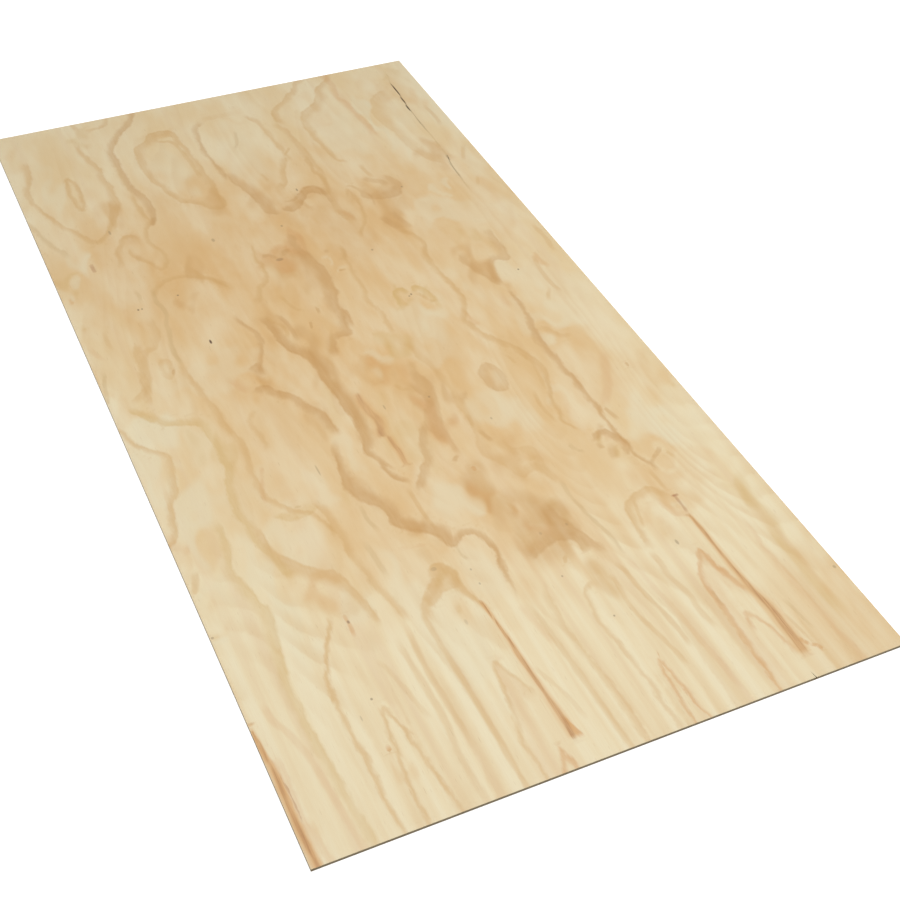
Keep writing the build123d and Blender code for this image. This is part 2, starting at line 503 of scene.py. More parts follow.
# The middle of the sheet, where the rings close into islands
MIDDLE = (
    ring([(191, 1320), (196, 1262), (204, 1215), (210, 1171), (217, 1133), (221, 1076), (232, 1010),
          (230, 970), (228, 932), (222, 876), (228, 834), (247, 799), (273, 772), (297, 753), (314, 703),
          (321, 670)], 14, 18, 16, 12, strength=0.46),
    ring([(152, 1338), (139, 1318), (140, 1288), (152, 1266), (170, 1290), (167, 1328), (152, 1338)], 18,
         strength=0.34, fade=LEFT, ends=1),
    ring([(300, 1097), (277, 1075), (269, 1056), (277, 1025), (277, 955)], 12, strength=0.36),
    ring([(300, 1148), (308, 1156), (335, 1163), (348, 1152), (354, 1139), (385, 1110), (396, 1091),
          (400, 1075), (423, 1037), (433, 972), (431, 944)], 20, 26, 22, strength=0.62, stain=BROWN),
    ring([(262, 1218), (285, 1164), (304, 1150)], 24, strength=0.42, stain=PINK, fade=LEFT),
    ring([(405, 1402), (417, 1325), (415, 1302), (423, 1283), (429, 1256), (440, 1238), (455, 1220),
          (463, 1152), (462, 1114), (471, 1056), (469, 1037), (475, 979), (467, 906), (460, 879),
          (471, 845), (473, 815), (488, 777), (504, 764), (511, 750)], 20, 24, 34, 38, 38, 34, 26, 16, 12,
         strength=0.7, stain=BROWN, fade=LEFT),
    ring([(508, 1215), (504, 1171), (488, 1102), (496, 1018), (486, 905)], 16, strength=0.3),
    soft([(475, 846), (488, 825), (498, 798)], 6, strength=0.42, stain=BROWN),
    ring([(612, 926), (577, 856), (569, 825), (562, 800), (548, 792), (519, 741), (519, 720)], 16, 22, 24,
         26, 22, strength=0.52, stain=BROWN, fade=LEFT),
    soft([(604, 1062), (613, 1037), (634, 1028)], 6, strength=0.36, ends=14),
    ring([(664, 1095), (680, 1018), (671, 964), (648, 883), (648, 790)], 22, 30, 30, 24, 10, strength=0.4,
         stain=BROWN),
    ring([(634, 1050), (640, 1014), (648, 995), (640, 964), (621, 933), (613, 902), (617, 864),
          (627, 835)], 16, 20, 24, strength=0.34, stain=BROWN, fade=LEFT),
    soft([(713, 908), (709, 875), (703, 858)], 5, strength=0.36, ends=12),
    soft([(714, 852), (718, 830), (726, 802)], 7, strength=0.45, stain=BROWN, ends=14),
    soft([(1000, 814), (1004, 790), (1011, 758)], 6, strength=0.4, stain=BROWN, ends=12),
    ring([(821, 1047), (804, 1034), (794, 1013), (796, 966), (806, 949), (821, 943), (837, 951),
          (847, 972), (850, 998), (845, 1023), (835, 1040), (821, 1047)], 30, strength=0.44, stain=BROWN,
         fade=LEFT, ends=1),
    ring([(848, 1606), (862, 1600), (884, 1570), (892, 1525), (882, 1495), (873, 1441), (878, 1379),
          (888, 1325), (882, 1264), (861, 1218), (858, 1195), (875, 1138), (921, 1068), (932, 1025),
          (940, 1006), (942, 979), (938, 956), (913, 879), (905, 825), (900, 800), (918, 758)], 14, 18,
         16, 14, 18, 20, 18, 16, 12, 8, strength=0.56),
    soft([(900, 1070), (917, 1037), (925, 1006), (921, 979), (909, 905)], 5, strength=0.26),
    soft([(878, 1060), (886, 1037), (888, 1012)], 5, strength=0.32, ends=14),
    soft([(882, 926), (875, 864), (882, 800)], 6, strength=0.36),
    ring([(999, 1124), (1013, 1110), (1030, 1080), (1043, 1072), (1062, 1072)], 18, strength=0.4,
         ends=16),
    soft([(1096, 990), (1071, 925), (1055, 895), (1044, 868), (1022, 838), (1007, 806)], 14,
         strength=0.34, stain=PINK),
    soft([(1123, 932), (1123, 905)], 4, strength=0.45, stain=BROWN, ends=8),
    soft([(60, 1490), (58, 1429), (63, 1405)], 7, strength=0.3),
    soft([(15, 1446), (19, 1418), (38, 1375)], 8, strength=0.3, stain=PINK),
    soft([(19, 1350), (19, 1325), (12, 1302), (3, 1240)], 6, strength=0.32, stain=OLIVE),
    ring([(117, 1420), (104, 1387), (90, 1283), (83, 1252), (42, 1220)], 22, strength=0.42, fade=LEFT),
    ring([(175, 1500), (178, 1445), (169, 1410), (156, 1378), (138, 1374), (124, 1352), (114, 1291),
          (96, 1225), (92, 1190)], 20, strength=0.4),
    soft([(169, 1615), (173, 1587), (169, 1550)], 6, strength=0.34, stain=OLIVE),
    soft([(170, 1300), (160, 1270)], 4, strength=0.42, stain=BROWN, ends=8),
    soft([(211, 1605), (204, 1548), (210, 1522), (211, 1487), (200, 1456), (200, 1429), (192, 1398),
          (187, 1348), (191, 1295)], 7, strength=0.4, stain=OLIVE),
    ring([(318, 1660), (328, 1625), (340, 1602), (354, 1591), (362, 1572), (392, 1522)], 17,
         strength=0.46),
    ring([(362, 1435), (365, 1395), (373, 1379), (387, 1345), (381, 1291), (354, 1228), (356, 1190)], 14,
         strength=0.52, stain=BROWN),
    ring([(318, 1228), (335, 1238), (356, 1243)], 40, stain=BROWN, ends=10),
    ring([(494, 1690), (482, 1620), (486, 1597), (484, 1552), (469, 1518), (454, 1506), (442, 1472),
          (421, 1440)], 8, 12, 20, strength=0.48),
    soft([(423, 1400), (431, 1372), (442, 1356), (450, 1333), (446, 1310), (436, 1298)], 6, strength=0.36,
         ends=16),
    soft([(442, 1400), (458, 1364), (462, 1280)], 7, strength=0.38, stain=BROWN),
    ring([(577, 1690), (592, 1690), (597, 1665), (596, 1640), (613, 1550), (621, 1525), (615, 1448),
          (616, 1420), (603, 1398), (597, 1362), (605, 1341), (605, 1310), (597, 1275)], 22, 30, 34, 34,
         22, strength=0.58, stain=BROWN),
    ring([(205, 1560), (222, 1592), (252, 1612), (290, 1614), (330, 1594), (362, 1562), (385, 1530)], 16,
         strength=0.46, fade=LEFT),
    soft([(481, 1460), (490, 1420), (500, 1393), (517, 1381)], 6, strength=0.38, ends=14),
    soft([(546, 1390), (544, 1356)], 5, stain=BROWN, ends=8),
    ring([(600, 1350), (588, 1291), (590, 1268), (577, 1255), (550, 1259), (535, 1225), (526, 1190)], 26,
         stain=BROWN),
    soft([(550, 1300), (531, 1252), (513, 1205)], 6, strength=0.36),
    soft([(515, 1346), (504, 1305)], 4, strength=0.42, stain=BROWN, ends=8),
    soft([(646, 1499), (668, 1498)], 5, stain=BROWN, ends=6),
    ring([(692, 1605), (680, 1450), (678, 1395), (673, 1372), (675, 1345), (684, 1302), (680, 1264),
          (679, 1215)], 12, strength=0.44),
    ring([(732, 1305), (727, 1345), (732, 1366), (744, 1378), (759, 1380), (770, 1371), (775, 1350)], 20,
         strength=0.64, stain=MUSTARD, ends=12),
    ring([(776, 1350), (781, 1367), (792, 1373), (817, 1345), (825, 1296)], 20, strength=0.64,
         stain=MUSTARD, ends=12),
    soft([(785, 1350), (798, 1325), (802, 1310), (810, 1302), (824, 1297)], 6, strength=0.42, ends=12),
    ring([(955, 1460), (944, 1425), (948, 1395), (971, 1325), (982, 1302), (996, 1293)], 28,
         strength=0.46, stain=BROWN, fade=LEFT),
    ring([(1067, 1530), (1067, 1483), (1062, 1405), (1052, 1382), (1032, 1392), (1017, 1385),
          (1005, 1360), (998, 1318), (998, 1288)], 18, 26, 26, 20, strength=0.46, stain=BROWN),
    soft([(971, 1275), (970, 1235), (971, 1200)], 12, strength=0.34, stain=PINK),
    soft([(1177, 1505), (1182, 1425), (1177, 1395), (1178, 1365)], 8, strength=0.34),
    soft([(1098, 1250), (1078, 1218), (1066, 1190)], 6, strength=0.32),
    soft([(1119, 1384), (1107, 1320), (1105, 1262), (1114, 1212)], 7, strength=0.34),
)

# The far end, with its row of long ovals
FAR_END = (
    ring([(0, 1995), (19, 1918), (38, 1856), (54, 1829), (61, 1790)], 14, strength=0.36, stain=OLIVE),
    soft([(100, 1755), (101, 1730), (102, 1708)], 6, stain=RED, ends=12),
    ring([(66, 2260), (54, 2169), (39, 2128), (35, 2100), (42, 2042), (58, 1990), (82, 1928), (101, 1904),
          (130, 1849), (143, 1840), (155, 1851), (185, 1898), (208, 1972), (215, 2010)], 28, 18, 14, 16,
         18, 20, strength=0.46),
    ring([(142, 2147), (129, 2115), (128, 2015), (142, 1978), (155, 2010), (160, 2060), (156, 2112),
          (142, 2147)], 13, fade=LEFT, ends=1),
    ring([(208, 2300), (211, 2246), (219, 2223), (223, 2192), (237, 2146), (231, 2115), (240, 2062),
          (236, 2000), (238, 1972), (208, 1908), (192, 1860)], 14, 18, 22, 24, 20, strength=0.48),
    ring([(319, 2400), (308, 2369), (292, 2354), (265, 2350), (244, 2333)], 16, strength=0.42),
    soft([(217, 2400), (227, 2355)], 8, strength=0.34),
    ring([(392, 2400), (385, 2369), (354, 2327), (335, 2308), (292, 2235), (287, 2150), (289, 2046),
          (305, 1985), (310, 1952), (304, 1879), (279, 1846)], 20, 22, 24, 22, 24, 20, strength=0.54,
         stain=BROWN),
    soft([(298, 1892), (291, 1866), (283, 1849)], 8, stain=BROWN, ends=10),
    ring([(277, 2015), (281, 1933), (284, 1868), (270, 1841), (262, 1795), (265, 1772), (277, 1748),
          (280, 1693), (269, 1670), (256, 1662), (242, 1672), (231, 1695), (204, 1741), (200, 1764),
          (210, 1788)], 14, strength=0.44),
    ring([(156, 1705), (165, 1745), (169, 1779), (196, 1825), (215, 1836), (231, 1829), (240, 1802)], 18,
         strength=0.48),
    ring([(467, 2245), (460, 2268), (446, 2277), (400, 2277), (385, 2252), (343, 2215), (338, 2192),
          (333, 2131), (338, 2054), (358, 1992), (370, 1952), (386, 1924), (426, 1896), (438, 1870),
          (462, 1860), (483, 1864), (491, 1895), (486, 1941), (488, 1987), (475, 2169), (469, 2200),
          (467, 2245)], 44, 34, 22, 20, 22, 24, 22, 16, strength=0.52, fade=LEFT, ends=1),
    soft([(398, 2242), (423, 2223), (442, 2217), (454, 2185), (462, 2092), (465, 2010)], 7,
         strength=0.34),
    ring([(668, 2262), (655, 2276), (634, 2285), (577, 2285), (554, 2277), (537, 2260)], 26,
         strength=0.22, ends=60),
    ring([(560, 2280), (537, 2260), (527, 2235), (516, 2154), (521, 2092), (533, 1972)], 22, 14, 12, 12,
         stain=BROWN),
    ring([(526, 2015), (537, 1952), (546, 1929), (562, 1868), (570, 1800), (590, 1781), (612, 1783)], 24,
         36, 44, 36, strength=0.48, stain=BROWN, fade=LEFT),
    soft([(588, 2108), (605, 2138), (617, 2177), (622, 2212)], 6, strength=0.3, stain=OLIVE),
    soft([(617, 1980), (625, 1930)], 5, strength=0.32, ends=14),
    ring([(660, 2275), (688, 2230), (694, 2185), (705, 2042), (698, 1995)], 16, strength=0.44, fade=LEFT),
    ring([(704, 2040), (702, 2015), (682, 1960), (667, 1910), (652, 1895), (647, 1870)], 20),
    soft([(703, 2033), (718, 2050), (735, 2073)], 5, strength=0.36, ends=12),
    ring([(496, 1612), (500, 1624), (508, 1629), (519, 1622), (533, 1600)], 16, stain=BROWN, ends=10),
    ring([(535, 1604), (540, 1618), (550, 1628), (571, 1630)], 18, stain=BROWN, ends=10),
    ring([(608, 1806), (616, 1793), (642, 1780), (675, 1810), (690, 1833), (705, 1841), (725, 1836),
          (739, 1808)], 34, 36, 26, strength=0.6, stain=BROWN, fade=LEFT, ends=14),
    soft([(626, 1832), (650, 1826), (662, 1832), (694, 1864), (717, 1868), (732, 1857), (739, 1837),
          (742, 1772)], 6, strength=0.42, stain=BROWN, ends=14),
    ring([(878, 2400), (862, 2390), (840, 2348), (822, 2338), (805, 2312), (763, 2277), (744, 2238),
          (749, 2180)], 22, strength=0.46, fade=LEFT),
    ring([(744, 2215), (750, 2182), (759, 2160), (760, 2131), (767, 2069), (770, 1964), (773, 1925),
          (753, 1812)], 20, 20, 15, strength=0.46),
    ring([(752, 2020), (748, 1933), (754, 1906), (755, 1875), (748, 1810), (737, 1760), (738, 1722),
          (747, 1695), (770, 1681)], 12, 12, 16, 24, strength=0.46, fade=LEFT),
    ring([(780, 1778), (790, 1802), (800, 1824), (807, 1808), (809, 1741), (794, 1675), (764, 1625),
          (754, 1598)], 12, strength=0.46),
    soft([(840, 1792), (846, 1772), (844, 1745), (836, 1720)], 4, strength=0.3, stain=BROWN, ends=14),
    ring([(796, 1828), (808, 1832), (828, 1802), (826, 1770), (862, 1748), (915, 1746), (941, 1782),
          (938, 1808), (928, 1834), (913, 1858)], 8, 16, 44, 50, 26, 12, strength=0.42, stain=BROWN,
         fade=LEFT, ends=24),
    soft([(858, 1862), (874, 1838), (898, 1822), (906, 1796)], 12, strength=0.34, stain=BROWN, ends=18),
    soft([(875, 1928), (878, 1883), (887, 1840)], 9, strength=0.42),
    ring([(824, 1675), (832, 1650), (852, 1598)], 24, strength=0.46, stain=BROWN, fade=LEFT, ends=16),
    ring([(873, 1690), (885, 1625), (892, 1598)], 18, strength=0.4, stain=BROWN, ends=16),
    ring([(967, 2400), (952, 2377), (913, 2338), (899, 2318), (894, 2290), (863, 2254), (838, 2236),
          (821, 2215), (809, 2185), (805, 2154), (809, 2123), (807, 2092), (813, 2062), (820, 1995),
          (824, 1968), (838, 1949), (854, 1936)], 18, 30, 40, 30, 18, 15, 14, strength=0.48, fade=LEFT),
    ring([(967, 2395), (969, 2350), (959, 2265), (967, 2238), (975, 2162), (981, 2073), (978, 2028)], 20,
         strength=0.42, stain=PINK),
    ring([(1096, 2264), (1044, 2235), (1017, 2173), (1010, 2142), (1017, 2073), (1025, 2035),
          (1033, 1952), (1053, 1883), (1071, 1856), (1096, 1840)], 50, 60, 50, 36, 30, 40, 60,
         strength=0.34, fade=LEFT),
    soft([(1133, 2375), (1132, 2325), (1124, 2290), (1123, 2246), (1113, 2040), (1115, 1990),
          (1112, 1870), (1104, 1820), (1097, 1683)], 2.5, strength=0.3, stain=OLIVE, ends=40),
    soft([(1180, 1915), (1159, 1868), (1142, 1828)], 8, strength=0.36),
    soft([(1146, 1755), (1127, 1708)], 6, strength=0.32, ends=16),
    soft([(1163, 2145), (1167, 2054), (1158, 2018)], 7, strength=0.36),
)

RING_LINES = (*NEAR_END, *NEAR_HALF, *MIDDLE, *FAR_END)

TONES = {
    "tan": patches(
        (520, 1750, 600, 270, 0.86), (520, 1400, 430, 330, 0.92), (580, 950, 470, 340, 0.84),
        (600, 600, 340, 200, 0.45), (600, 2200, 720, 320, 0.22), (1060, 1400, 190, 460, 0.24),
        (58, 733, 38, 36, 0.22), (20, 545, 30, 26, 0.25), (25, 60, 18, 26, 0.4), (105, 440, 12, 26, 0.25),
        (232, 574, 34, 44, 0.42), (404, 752, 16, 30, 0.4), (470, 648, 34, 20, 0.4),
        (535, 595, 30, 26, 0.35), (560, 790, 34, 26, 0.2), (454, 505, 16, 26, 0.3),
        (748, 742, 40, 46, 0.5), (1032, 662, 42, 42, 0.42), (928, 471, 14, 24, 0.3),
        (745, 125, 8, 24, 0.4), (218, 130, 8, 20, 0.35), (336, 1192, 26, 40, 0.45),
        (282, 1205, 22, 34, 0.2), (566, 1122, 44, 34, 0.42), (590, 1075, 18, 24, 0.2),
        (545, 1590, 56, 56, 0.3), (500, 1430, 24, 50, 0.35), (566, 1400, 22, 50, 0.35),
        (690, 1690, 50, 90, 0.4), (300, 1440, 60, 80, 0.34), (333, 1010, 40, 80, 0.36),
        (500, 1150, 20, 80, 0.2), (1050, 1050, 64, 50, 0.24), (1040, 920, 60, 60, 0.28),
        (912, 1742, 66, 50, 0.42), (1150, 1685, 32, 60, 0.36), (1145, 2190, 26, 50, 0.3),
        (958, 2250, 18, 100, 0.3), (1090, 2280, 50, 70, 0.2), (1150, 880, 30, 60, 0.3),
        (652, 668, 22, 50, 0.3), (560, 1760, 30, 30, 0.3), (1060, 640, 50, 24, 0.3),
        (622, 862, 14, 24, 0.3), (821, 1012, 24, 26, 0.3), (148, 1532, 18, 32, 0.36),
        (270, 1606, 50, 14, 0.3), (265, 1506, 22, 24, 0.42), (425, 1396, 26, 70, 0.42),
        (572, 1368, 24, 26, 0.42), (974, 1390, 28, 76, 0.6), (1115, 1368, 12, 14, 0.3),
        (40, 1190, 26, 30, 0.25), (222, 1748, 24, 48, 0.46), (325, 1632, 20, 48, 0.46),
        (582, 1838, 28, 56, 0.52), (756, 1720, 16, 38, 0.46), (890, 1800, 52, 50, 0.44),
        (1086, 1890, 38, 56, 0.5), (432, 2250, 34, 24, 0.28), (640, 2262, 34, 20, 0.2),
        (20, 2295, 24, 46, 0.25), (873, 2185, 12, 20, 0.3), (1140, 2180, 22, 34, 0.3),
        (1080, 2225, 36, 26, 0.25), (965, 1700, 16, 22, 0.25), (915, 825, 16, 40, 0.3),
        (602, 1088, 34, 30, 0.4), (1030, 1075, 34, 34, 0.32), (985, 1245, 16, 60, 0.35),
        (1035, 1460, 26, 48, 0.35), (573, 1276, 30, 20, 0.32), (155, 1315, 16, 40, 0.3),
        (340, 1550, 44, 44, 0.26), (340, 1180, 18, 40, 0.4), (332, 610, 12, 40, 0.25),
        (862, 1662, 30, 66, 0.5), (672, 1816, 30, 22, 0.4), (795, 1785, 12, 36, 0.36),
        (212, 1950, 16, 60, 0.4), (462, 1892, 24, 50, 0.42), (418, 1926, 24, 16, 0.3),
        (520, 1740, 60, 46, 0.3), (400, 1290, 20, 60, 0.25), (1120, 90, 110, 170, 0.45),
        (1184, 130, 26, 160, 0.35), (990, 545, 48, 70, 0.7), (1080, 560, 60, 50, 0.35),
        (1110, 1250, 34, 80, 0.4), (1110, 1545, 36, 80, 0.6), (725, 1670, 64, 150, 0.6),
        (536, 1590, 50, 80, 0.4), (206, 1755, 40, 70, 0.5), (870, 2170, 30, 120, 0.5),
        (630, 1800, 44, 100, 0.6), (990, 850, 24, 50, 0.5), (150, 1730, 40, 60, 0.35),
        (6, 720, 10, 60, 0.4), (8, 1290, 8, 60, 0.35), (11, 1503, 14, 24, 0.3),
    ),
    "mustard": patches(
        (658, 1184, 28, 34, 0.6), (180, 995, 14, 56, 0.3), (474, 495, 18, 34, 0.4),
        (138, 1000, 12, 50, 0.3), (742, 1322, 13, 16, 0.4), (815, 1312, 9, 14, 0.45),
        (746, 572, 14, 28, 0.35), (936, 714, 9, 20, 0.5), (18, 542, 10, 20, 0.35),
        (1140, 475, 26, 30, 0.3), (10, 1515, 12, 14, 0.35), (42, 1514, 12, 14, 0.3),
        (40, 1702, 22, 16, 0.3), (1017, 1517, 30, 20, 0.34), (219, 2312, 26, 28, 0.35),
        (1159, 2335, 22, 24, 0.3), (1182, 825, 14, 22, 0.3), (370, 780, 12, 40, 0.2),
        (570, 850, 40, 56, 0.4), (450, 1050, 24, 60, 0.3), (540, 930, 40, 60, 0.2),
    ),
    "pale": patches(
        (60, 1124, 56, 36, 0.6), (15, 510, 16, 20, 0.68), (45, 790, 18, 60, 0.6), (140, 640, 22, 90, 0.6),
        (150, 480, 22, 110, 0.52), (235, 690, 50, 60, 0.52), (280, 470, 22, 60, 0.45),
        (380, 500, 18, 90, 0.52), (330, 800, 24, 50, 0.45), (425, 330, 60, 120, 0.52),
        (560, 690, 40, 60, 0.45), (540, 470, 26, 70, 0.45), (330, 1030, 46, 90, 0.2),
        (77, 1760, 20, 50, 0.52), (28, 1655, 16, 24, 0.45), (996, 499, 8, 9, 0.6),
        (1030, 1729, 22, 16, 0.52), (655, 1512, 30, 8, 0.3), (90, 2080, 24, 110, 0.38),
        (410, 2080, 36, 100, 0.38), (600, 2080, 50, 120, 0.38), (890, 2080, 60, 100, 0.38),
        (1085, 2080, 26, 60, 0.3), (756, 1245, 60, 66, 0.5), (1110, 1235, 64, 84, 0.35),
        (775, 890, 50, 56, 0.42), (1110, 1590, 66, 46, 0.3), (1120, 700, 50, 90, 0.3),
        (26, 1000, 24, 100, 0.62), (85, 1110, 44, 40, 0.4), (87, 867, 40, 66, 0.55),
        (140, 1020, 26, 60, 0.3), (50, 630, 26, 24, 0.4), (20, 900, 12, 60, 0.4), (575, 690, 44, 36, 0.45),
        (432, 900, 14, 44, 0.4), (612, 1160, 28, 36, 0.45), (815, 885, 26, 80, 0.5),
        (793, 1266, 36, 44, 0.4), (1073, 733, 44, 56, 0.75), (1062, 1118, 48, 36, 0.6),
        (980, 1646, 66, 46, 0.55), (930, 900, 12, 70, 0.3), (1046, 1335, 34, 40, 0.45),
        (905, 1330, 16, 50, 0.3), (83, 1750, 16, 26, 0.4), (992, 2200, 12, 60, 0.5),
        (996, 2090, 14, 80, 0.6), (1022, 1960, 16, 60, 0.5), (1178, 2090, 16, 90, 0.45),
        (1160, 1820, 20, 60, 0.3), (250, 1250, 140, 50, 0.3), (150, 860, 110, 56, 0.22),
        (735, 1150, 66, 56, 0.35), (990, 1150, 30, 60, 0.3),
    ),
    "brown": patches(
        (700, 545, 62, 84, 0.5), (745, 540, 20, 50, 0.35), (645, 690, 26, 80, 0.42),
        (742, 738, 40, 40, 0.22), (955, 724, 28, 20, 0.4), (590, 1490, 24, 120, 0.3),
        (548, 1560, 50, 70, 0.25), (484, 1222, 30, 70, 0.5), (480, 1040, 16, 120, 0.25),
        (425, 1390, 20, 60, 0.26), (655, 1052, 26, 44, 0.26), (566, 1122, 36, 28, 0.14),
        (650, 668, 18, 44, 0.3), (640, 940, 24, 80, 0.2), (900, 1745, 40, 40, 0.24),
        (657, 1576, 10, 18, 0.6), (716, 960, 12, 34, 0.42), (582, 1836, 24, 50, 0.3),
        (325, 1632, 18, 44, 0.34), (222, 1748, 20, 40, 0.24), (862, 1664, 26, 60, 0.34),
        (974, 1388, 24, 70, 0.38), (672, 1816, 28, 20, 0.3), (890, 1790, 44, 40, 0.24),
        (1088, 1905, 34, 52, 0.42), (212, 1950, 14, 56, 0.24), (462, 1896, 22, 46, 0.26),
        (756, 1720, 14, 34, 0.3), (415, 740, 22, 50, 0.3), (480, 632, 26, 24, 0.3),
        (455, 500, 30, 40, 0.22), (265, 1506, 20, 22, 0.26), (338, 1185, 18, 36, 0.3),
        (410, 1020, 16, 60, 0.2), (725, 1680, 56, 140, 0.2), (630, 1790, 40, 80, 0.12),
    ),
    "rust": patches(
        (540, 1608, 54, 44, 0.5), (588, 1645, 16, 50, 0.4), (637, 905, 24, 60, 0.55),
        (866, 1204, 12, 30, 0.4), (22, 1616, 14, 20, 0.6), (754, 1722, 14, 28, 0.26),
        (18, 780, 14, 14, 0.3), (240, 580, 30, 36, 0.2), (700, 528, 30, 26, 0.3),
        (598, 1090, 26, 26, 0.25), (645, 648, 30, 14, 0.3), (970, 680, 12, 24, 0.3),
        (222, 868, 9, 20, 0.45),
        (1115, 1368, 12, 14, 0.35),
    ),
}

RESIN = (
    soft([(3, 300), (9, 205), (8, 120), (13, 0)], 2, 3, 5, 5, 6, 6, strength=0.95, ends=30),
    soft([(505, 415), (513, 300), (513, 250), (520, 110), (519, 52)], 2.5, 3, 4, 5, 6, 7, 7, strength=1.0,
         ends=12),
    soft([(998, 456), (1002, 400), (1002, 320), (1007, 220), (1013, 160), (1009, 50)], 3, 4, 5, 6, 9, 11,
         9, strength=0.95, ends=12),
    soft([(517, 1066), (514, 1025), (519, 985), (525, 970), (523, 945), (515, 925), (516, 900)], 6, 11,
         13, 11, strength=0.66, ends=16),
    soft([(524, 912), (526, 871), (529, 852), (525, 805)], 6, 7, 5, strength=0.72, ends=14),
)

SPECKS = (
    Speck((275, 1356), (2.6, 7.5), 0.95),
    Speck((223, 277), (2.4, 2.8), 0.5),
    Speck((190, 245), (1.6, 6.5), 0.22),
    Speck((724, 276), (2.0, 2.4), 0.45),
    Speck((680, 404), (2.0, 2.6), 0.35),
    Speck((457, 373), (3.0, 7.0), 0.16),
    Speck((936, 395), (3.0, 7.0), 0.35),
    Speck((456, 519), (6.0, 5.0), 0.2),
    Speck((523, 490), (2.0, 3.0), 0.3),
    Speck((523, 450), (2.0, 3.0), 0.3),
    Speck((694, 523), (3.0, 4.0), 0.16),
    Speck((755, 525), (3.0, 4.0), 0.16),
    Speck((252, 460), (2.6, 4.0), 0.5),
    Speck((5, 523), (3.0, 3.0), 0.35),
    Speck((1190, 215), (3.0, 4.0), 0.3),
    Speck((156, 1533), (2.4, 3.4), 0.6),
    Speck((165, 1533), (2.0, 3.0), 0.5),
    Speck((258, 1552), (2.4, 3.0), 0.5),
    Speck((406, 1735), (4.0, 7.0), 0.3),
    Speck((585, 1729), (3.0, 3.6), 0.35),
    Speck((938, 1779), (2.4, 3.0), 0.4),
    Speck((678, 1868), (2.4, 6.0), 0.5),
    Speck((531, 1596), (9.0, 6.0), 0.3),
    Speck((773, 1345), (2.4, 3.4), 0.55),
    Speck((1057, 1337), (2.4, 3.0), 0.6),
    Speck((757, 1548), (3.0, 3.6), 0.35),
    Speck((178, 1862), (3.0, 9.0), 0.3),
    Speck((766, 1340), (2.4, 2.6), 0.4),
    Speck((1122.6, 2246), (2.3, 36.0), 0.72),
    Speck((1118.2, 2184), (2.3, 20.0), 0.72),
    Speck((1114.6, 2140), (2.5, 18.0), 0.75),
    Speck((1114.5, 2046), (2.2, 40.0), 0.24),
    Speck((1110.4, 1862), (2.6, 13.0), 0.3),
    Speck((1102.5, 1800), (2.0, 44.0), 0.24),
    Speck((659, 989), (2.6, 3.4), 0.3),
    Speck((554, 995), (1.8, 8.0), 0.28),
    Speck((348, 866), (2.0, 16.0), 0.26),
    Speck((755, 872), (2.2, 4.0), 0.26),
)


@dataclass
class Figure:
    """The figure of a peeled face: everything that its finish needs to know about each place.

    Attributes:
        lines: The ring lines.
        patches: The tone patches, by the name of their tone.
        resin: The resin streaks.
        specks: The pin knots and flecks.
        channels: How many ring lines may reach one place.
        speck_channels: How many specks may be near one place.
    """

    lines: tuple[RingLine, ...]
    patches: dict[str, tuple[TonePatch, ...]]
    resin: tuple[RingLine, ...]
    specks: tuple[Speck, ...]
    channels: int = 6
    speck_channels: int = 2

    def attributes(self, x: np.ndarray, y: np.ndarray, size: Point) -> dict[str, np.ndarray]:
        """The figure as three numbers for each place and attribute.

        A ring attribute holds the distance to the nearest line of its channel, that line's width (less
        than nothing for a soft line) and its weight. Each line goes to the first channel in which nothing
        lies near it yet. Two attributes hold the tints of the channels, two hold the tones, and one holds
        the resin as a ring attribute does. A speck attribute holds where the place is on the nearest
        oval of its channel and how dark that is.

        Args:
            x: Places across the sheet, in millimetres.
            y: Places along the sheet, in millimetres.
            size: The sheet's width and length, in millimetres.

        Returns:
            The attributes by name.
        """
        ring = np.full((self.channels, len(x), 3), IDLE_RING)
        tint = np.zeros((len(x), self.channels))
        taken = np.zeros((self.channels, len(x)), bool)
        for line in self.lines:
            near, distance, width, weight = line.measure(x, y, size)
            free = [k for k in range(self.channels) if not taken[k, near].any()]
            if not free:
                LOG.warning("no channel is free for the line from %s", line.points[0])
                continue
            width = -width if line.fade is BOTH else width
            ring[free[0], near] = np.stack([distance, width, weight], -1)
            tint[near, free[0]] = line.stain.value
            taken[free[0], near] = True
        made = {f"ring_{k}": ring[k] for k in range(self.channels)}
        made["tint_near"], made["tint_far"] = tint[:, :3], tint[:, 3:6]
        carried = meander(x, y)
        tones = [sum(patch.cover(*carried) for patch in group) for group in self.patches.values()]
        tones = 1.0 - np.exp(-np.stack([*tones, np.zeros(len(x))], -1))
        made["tone"], made["deep_tone"] = tones[:, :3], tones[:, 3:6]
        made["resin"] = np.full((len(x), 3), IDLE_RING)
        for line in self.resin:
            near, distance, width, weight = line.measure(x, y, size)
            made["resin"][near] = np.stack([distance, width, weight], -1)
        oval = np.full((self.speck_channels, len(x), 3), IDLE_SPECK)
        for speck in self.specks:
            near, across, along = speck.measure(x, y)
            free = [k for k in range(self.speck_channels) if not oval[k, near, 2].any()]
            if not free:
                LOG.warning("no channel is free for the speck at %s", speck.centre)
                continue
            oval[free[0], near] = np.stack([across, along, np.full(len(near), speck.depth)], -1)
        return made | {f"speck_{k}": oval[k] for k in range(self.speck_channels)}

    def late_wood(self, made: dict[str, np.ndarray]) -> np.ndarray:
        """The share of hard late wood at each place: the darkest ring line, fading over its width."""
        share = np.zeros(len(made["tone"]))
        for k in range(self.channels):
            distance, width, weight = made[f"ring_{k}"].T
            gone = np.where(distance > 0, distance / np.abs(width), -distance / BEHIND_EDGE)
            share = np.maximum(share, weight * np.clip(1.0 - gone, 0.0, 1.0))
        return share


